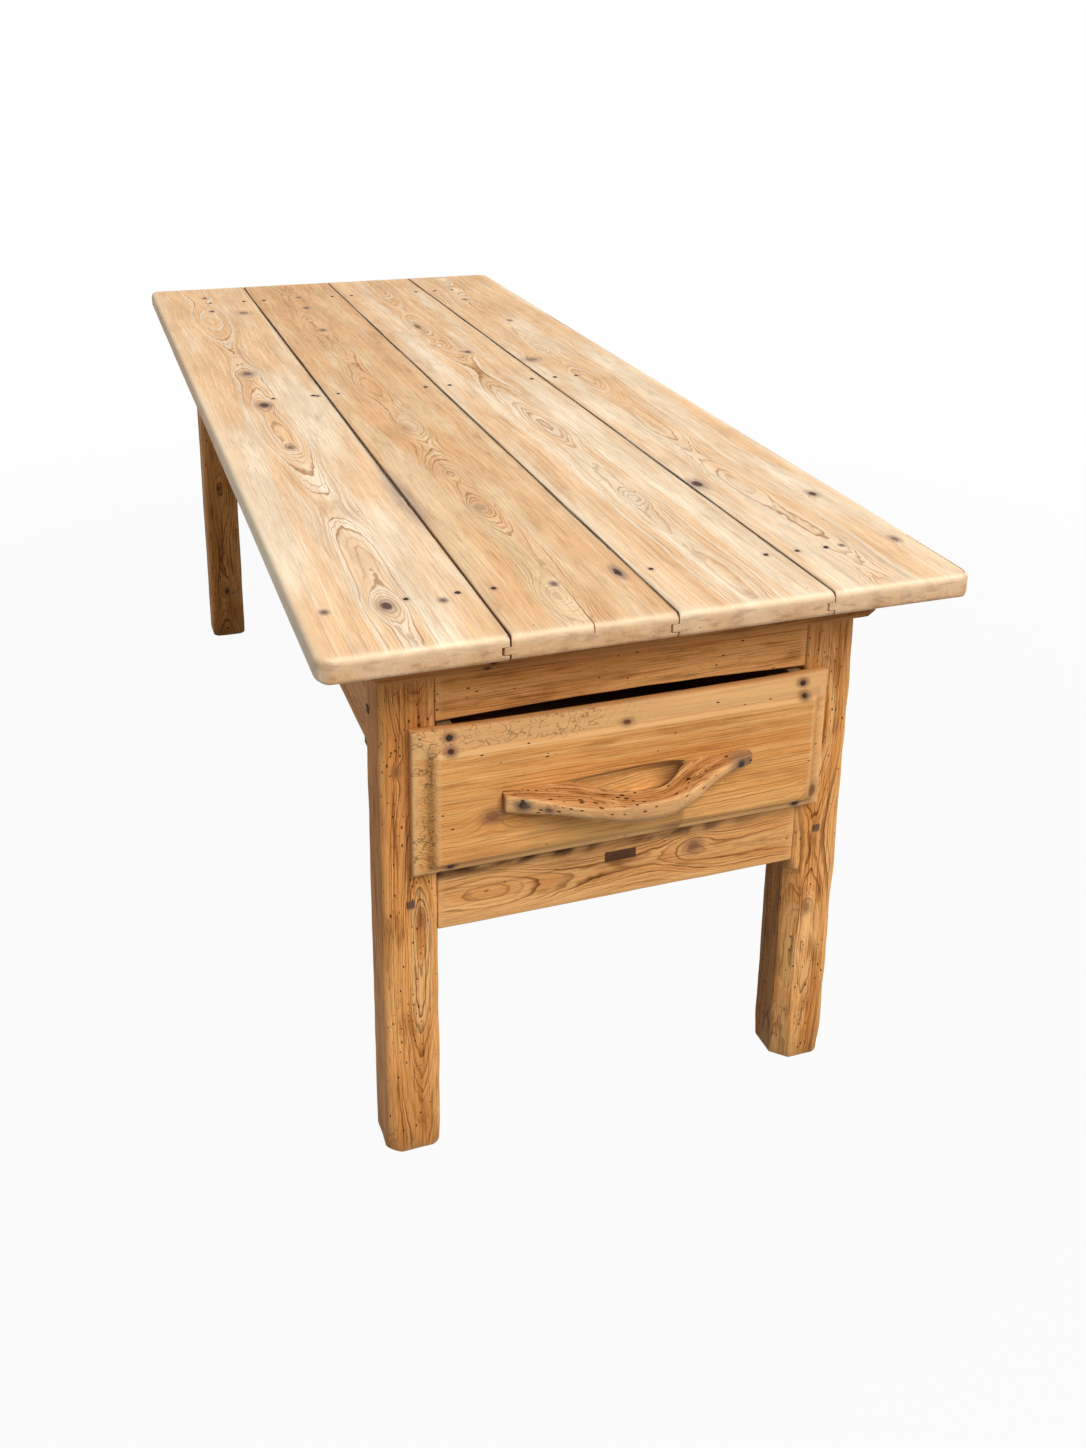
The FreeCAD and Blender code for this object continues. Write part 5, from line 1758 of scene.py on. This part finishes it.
@dataclass
class FastenerHeads:
    """Heads of hand-made nails or square pegs, all alike but for their turn and size."""

    name: str
    body: str
    slot: str
    nodes: tuple[str, ...]
    places: list[Point]
    facings: list[Facing]
    material: bpy.types.Material
    width: float
    height: float
    sides: int = 8
    taper: float = 0.72
    twist: float = 20.0
    growth: tuple[float, float] = (0.85, 1.15)
    seed: int = 5

    def tree(self) -> bpy.types.NodeTree:
        """Node tree that sets one head on each point, turned as the point's facing says.

        Returns:
            The tree.
        """
        tree = bpy.data.node_groups.new(f"{self.name}_heads", "GeometryNodeTree")
        inputs = {"Points": "NodeSocketGeometry", "Width": "NodeSocketFloat", "Height": "NodeSocketFloat",
                  "Taper": "NodeSocketFloat", "Sides": "NodeSocketInt", "Twist": "NodeSocketFloat",
                  "Seed": "NodeSocketInt", "Finish": "NodeSocketMaterial"}
        for name, kind in inputs.items():
            tree.interface.new_socket(name=name, in_out="INPUT", socket_type=kind)
        tree.interface.new_socket(name="Heads", in_out="OUTPUT", socket_type="NodeSocketGeometry")
        graph = Graph(tree)
        given = graph.node("NodeGroupInput").outputs
        half = graph.over(given["Width"], 2.0)
        head = graph.node("GeometryNodeMeshCone", {
            "Vertices": given["Sides"], "Radius Top": graph.times(half, given["Taper"]),
            "Radius Bottom": half, "Depth": given["Height"]})
        turned = graph.node("GeometryNodeTransform", {
            "Geometry": head.outputs["Mesh"], "Rotation": (0.0, 0.0, math.pi / self.sides)})
        spots = graph.node("GeometryNodeMeshToPoints", {"Mesh": given["Points"]})
        facing = graph.node("GeometryNodeInputNamedAttribute", {"Name": "facing"}, data_type="FLOAT_VECTOR")
        chance = graph.node("FunctionNodeRandomValue", {
            2: graph.times(given["Twist"], -1.0), 3: given["Twist"], "Seed": given["Seed"]},
            data_type="FLOAT")
        turn = graph.node("FunctionNodeRotateEuler", {
            0: facing.outputs["Attribute"], 1: graph.combine(0.0, 0.0, chance.outputs[1])}, space="LOCAL")
        growth = graph.node("FunctionNodeRandomValue", {
            2: self.growth[0], 3: self.growth[1], "Seed": given["Seed"]}, data_type="FLOAT")
        heads = graph.node("GeometryNodeInstanceOnPoints", {
            "Points": spots.outputs["Points"], "Instance": turned.outputs["Geometry"],
            "Rotation": turn.outputs[0], "Scale": growth.outputs[1]})
        whole = graph.node("GeometryNodeRealizeInstances", {"Geometry": heads.outputs["Instances"]})
        finish = graph.node("GeometryNodeSetMaterial", {
            "Geometry": whole.outputs["Geometry"], "Material": given["Finish"]})
        graph.node("NodeGroupOutput", {0: finish.outputs["Geometry"]})
        return tree

    def build(self) -> None:
        """Grows the heads on their places and keeps them as one plain mesh."""
        spots = bpy.data.meshes.new(f"{self.name}_spots")
        spots.from_pydata((np.array(self.places) * MM).tolist(), [], [])
        turns = [(math.radians(way.value[0]), 0.0, math.radians(way.value[1])) for way in self.facings]
        stored = spots.attributes.new("facing", "FLOAT_VECTOR", "POINT")
        stored.data.foreach_set("vector", np.array(turns, np.float32).ravel())
        piece = bpy.data.objects.new(self.name, spots)
        bpy.context.scene.collection.objects.link(piece)
        grown = piece.modifiers.new("heads", "NODES")
        grown.node_group = self.tree()
        values = {"Width": self.width * MM, "Height": self.height * MM, "Taper": self.taper,
                  "Sides": self.sides, "Twist": math.radians(self.twist), "Seed": self.seed,
                  "Finish": self.material}
        for item in grown.node_group.interface.items_tree:
            if item.item_type == "SOCKET" and item.in_out == "INPUT" and item.name in values:
                grown[item.identifier] = values[item.name]
        evaluated = piece.evaluated_get(bpy.context.evaluated_depsgraph_get())
        plain = bpy.data.meshes.new_from_object(evaluated)
        piece.modifiers.clear()
        piece.data = plain
        bpy.data.meshes.remove(spots)
        seat(piece, self.body, self.slot, *self.nodes)


@dataclass
class Studio:
    """Pale floor, soft light and the camera of the photograph."""

    camera_metres: Point = (-0.65502, -2.40238, 1.44606)
    camera_turn: Point = (71.218, -0.746, -19.401)
    lens: float = 36.79
    shift_up: float = -0.16575
    sky_low: float = 0.14
    sky_high: float = 0.58
    key_metres: Point = (5.4, -15.0, 16.5)
    key_aim_metres: Point = (0.0, 0.0, 0.5)
    key_size: float = 15.0
    key_power: float = 4650.0
    floor_half: float = 30.0
    floor_drop: float = 0.0003
    floor_white: float = 0.95
    floor_fade: tuple[float, float] = (1.0, 3.5)
    floor_colour: tuple[float, float, float, float] = (0.35, 0.35, 0.35, 1.0)

    def build(self) -> None:
        """Sets up the floor, the light and the camera."""
        scene = bpy.context.scene
        scene.view_settings.view_transform = "Standard"
        self.build_floor()
        self.build_world()
        lamp = bpy.data.lights.new("key", "AREA")
        lamp.shape = "DISK"
        lamp.size = self.key_size
        lamp.energy = self.key_power
        key = bpy.data.objects.new("key", lamp)
        key.location = self.key_metres
        aim = Vector(self.key_aim_metres) - key.location
        key.rotation_euler = aim.to_track_quat("-Z", "Y").to_euler()
        scene.collection.objects.link(key)
        lens = bpy.data.cameras.new("camera")
        lens.lens = self.lens
        lens.shift_y = self.shift_up
        camera = bpy.data.objects.new("camera", lens)
        camera.location = self.camera_metres
        camera.rotation_euler = [math.radians(turn) for turn in self.camera_turn]
        scene.collection.objects.link(camera)
        scene.camera = camera

    def build_floor(self) -> None:
        """Floor that shows white to the camera and keeps a soft shadow."""
        reach, level = self.floor_half, -self.floor_drop
        mesh = bpy.data.meshes.new("floor")
        corners = [(x * reach, y * reach, level) for x, y in ((-1, -1), (1, -1), (1, 1), (-1, 1))]
        mesh.from_pydata(corners, [], [(0, 1, 2, 3)])
        floor = bpy.data.objects.new("floor", mesh)
        bpy.context.scene.collection.objects.link(floor)
        made, graph = new_material("pale_floor")
        matt = graph.node("ShaderNodeBsdfDiffuse", {"Color": self.floor_colour})
        white = graph.node("ShaderNodeEmission")
        path = graph.node("ShaderNodeLightPath").outputs
        seen = graph.most(path["Is Camera Ray"], path["Is Glossy Ray"])
        seen = graph.most(seen, path["Is Transmission Ray"])
        place = graph.node("ShaderNodeTexCoord").outputs["Object"]
        away = graph.node("ShaderNodeVectorMath", {0: place}, operation="LENGTH").outputs["Value"]
        whiteness = graph.rise(away, *self.floor_fade, self.floor_white, 1.0)
        blend = graph.node("ShaderNodeMixShader", {
            0: graph.times(seen, whiteness), 1: matt.outputs[0], 2: white.outputs[0]})
        graph.node("ShaderNodeOutputMaterial", {"Surface": blend.outputs[0]})
        dress(floor, made)

    def build_world(self) -> None:
        """White light, stronger from above, that the camera sees as plain white."""
        world = bpy.data.worlds.new("studio")
        bpy.context.scene.world = world
        world.use_nodes = True
        graph = Graph(world.node_tree)
        path = graph.node("ShaderNodeLightPath").outputs
        height = graph.separate(graph.node("ShaderNodeTexCoord").outputs["Generated"])[2]
        sky = graph.rise(height, 0.0, 0.9, self.sky_low, self.sky_high)
        seen = graph.most(path["Is Camera Ray"], path["Is Transmission Ray"])
        light = graph.node("ShaderNodeBackground", {
            "Color": (1.0, 1.0, 1.0, 1.0), "Strength": graph.most(sky, seen)})
        graph.node("ShaderNodeOutputWorld", {"Surface": light.outputs[0]})


@dataclass
class InnerPieces:
    """Plain bars inside the table and the drawer box, which keep their solids."""

    lengthwise: tuple[str, ...] = ("drawer_runner", "drawer_guide", "drawer_kicker", "drawer_side")
    upright: tuple[str, ...] = ("runner_hanger",)
    crosswise: tuple[str, ...] = (
        "middle_bearer", "drawer_cross_rail", "drawer_back", "drawer_bottom_front", "drawer_bottom_rear")
    seed: float = 91.0
    seed_step: float = 1.3

    def grains(self) -> list[tuple[str, Grain]]:
        """How the wood of each piece lies.

        Returns:
            Node and grain of each piece.
        """
        paired = [(name, Grain.SIDE) for name in self.lengthwise]
        paired += [(name, Grain.UPRIGHT) for name in self.upright]
        sided = [(f"{name}_{side}", grain) for name, grain in paired for side in ("left", "right")]
        return sided + [(name, Grain.ACROSS) for name in self.crosswise]

    def build(self, shader: PineShader) -> None:
        """Gives the pieces their bare pine.

        Args:
            shader: Node groups of the pine.
        """
        seed = self.seed
        for node, grain in self.grains():
            seed += self.seed_step
            finish = PineFinish(
                f"bare_pine_{node}", grain, INNER, seed, plain_point(box_mm(node)[0]), pith=(40, -30),
                lines=0.6, bleaching=0.4, worms=0.04, heart=60.0, roughness=0.7)
            dress(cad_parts[node], finish.material(shader))
            LOG.info("%s keeps its solid", node)


@dataclass
class RailPlug:
    """Dark plug let into the face of the lower rail."""

    proud: float = 0.7
    arris: float = 1.0
    end_rounds: tuple[float, float] = (1.0, 1.0)
    swell: float = 0.25

    def build(self, shader: PineShader) -> None:
        """Builds and dresses the plug.

        Args:
            shader: Node groups of the pine.
        """
        low, high = box_mm("lower_rail_plug")
        low[1] = box_mm("lower_end_rail")[0][1] - self.proud
        finish = PineFinish("dark_plug", Grain.ACROSS, PLUG, 117.0, plain_point(low), pith=(6, 20),
                            wander=(3.0, 3.0), ring=2.2, roughness=0.6)
        Timber("rail_plug", TABLE, "dark_wood", finish, low, high, arris=self.arris, wear=0.6,
               end_rounds=self.end_rounds, step=4.0, flat_step=3.0, swell=self.swell,
               nodes=("lower_rail_plug",), edge_reach=2.0).build(shader)


@dataclass
class Fasteners:
    """Nails and pegs, whose heads stand where the solids have them; a head is a width and a height."""

    top_head: tuple[float, float] = (7.0, 0.9)
    front_head: tuple[float, float] = (8.0, 1.6)
    pull_head: tuple[float, float] = (9.0, 1.8)
    peg_side: float = 10.0
    peg_height: float = 1.8
    top_lift: float = 0.1
    front_lift: float = 0.2

    @staticmethod
    def middles(node: str) -> list[np.ndarray]:
        """Middles of the separate solids of a node.

        Args:
            node: Name of the node.

        Returns:
            One middle for each solid, in millimetres.
        """
        work = bmesh.new()
        work.from_mesh(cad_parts[node].data)
        bmesh.ops.remove_doubles(work, verts=work.verts, dist=1e-6)
        waiting = set(work.verts)
        found = []
        while waiting:
            start = waiting.pop()
            group, edge_of = [start], [start]
            while edge_of:
                for edge in edge_of.pop().link_edges:
                    for vertex in edge.verts:
                        if vertex in waiting:
                            waiting.remove(vertex)
                            group.append(vertex)
                            edge_of.append(vertex)
            points = np.array([vertex.co for vertex in group]) / MM
            found.append((points.min(axis=0) + points.max(axis=0)) / 2)
        work.free()
        return sorted(found, key=lambda middle: tuple(np.round(middle, 1)))

    def nails(self) -> list[FastenerHeads]:
        """Iron nails in the top, the drawer front and the pull.

        Returns:
            Their heads.
        """
        iron = IronFinish().material()
        front, pull = DrawerFront(), DrawerPull()
        top = box_mm("top_board_1")[1][2] + self.top_lift
        on_top = [(x, y, top) for x, y, _ in self.middles("top_nails")]
        on_front, on_pull = [], []
        for x, _, z in self.middles("drawer_nails"):
            face = front.high[1] - float(front.depth(np.array(x), np.array(z)))
            on_front.append((x, face - self.front_lift, z))
        for x, _, z in self.middles("handle_nails"):
            on_pull.append((x, pull.face - pull.at(x)[1] - self.front_lift, z))
        rows = (("top_nail_heads", TABLE, "top_nails", on_top, Facing.UP, self.top_head, 11),
                ("drawer_nail_heads", DRAWER, "drawer_nails", on_front, Facing.FRONT, self.front_head, 13),
                ("pull_nail_heads", DRAWER, "handle_nails", on_pull, Facing.FRONT, self.pull_head, 17))
        return [
            FastenerHeads(name, body, "iron", (node,), places, [way] * len(places), iron, *head, seed=seed)
            for name, body, node, places, way, head, seed in rows]

    def pegs(self, shader: PineShader) -> FastenerHeads:
        """Square pegs through the tenons.

        Args:
            shader: Node groups of the pine.

        Returns:
            Their heads.
        """
        finish = PineFinish("dark_peg_wood", Grain.ACROSS, PEG, 121.0, ring=2.0, roughness=0.6)
        left, front, _ = box_mm("front_left_leg")[0]
        rear = box_mm("rear_left_leg")[1][1]
        set_in = [((x, front, z), Facing.FRONT) for x, _, z in self.middles("lower_rail_pegs")]
        set_in += [((x, rear, z), Facing.REAR) for x, _, z in self.middles("rear_rail_pegs")]
        for x, y, z in self.middles("apron_pegs"):
            set_in.append(((math.copysign(abs(left), x), y, z), Facing.LEFT if x < 0 else Facing.RIGHT))
        places, ways = (list(column) for column in zip(*set_in))
        return FastenerHeads(
            "peg_heads", TABLE, "dark_wood", ("lower_rail_pegs", "rear_rail_pegs", "apron_pegs"), places,
            ways, finish.material(shader), self.peg_side * math.sqrt(2), self.peg_height, sides=4,
            taper=0.93, twist=5.0, seed=19)

    def build(self, shader: PineShader) -> None:
        """Builds every head."""
        for heads in (*self.nails(), self.pegs(shader)):
            heads.build()


def main() -> None:
    """Builds the table's looks in order and sets up the studio."""
    logging.basicConfig(level=logging.INFO, format="%(message)s")
    shader = PineShader()
    TableTop().build(shader)
    TableFrame().build(shader)
    DrawerFront().build(shader)
    DrawerPull().build(shader)
    InnerPieces().build(shader)
    RailPlug().build(shader)
    Fasteners().build(shader)
    Studio().build()


if __name__ == "__main__":
    main()
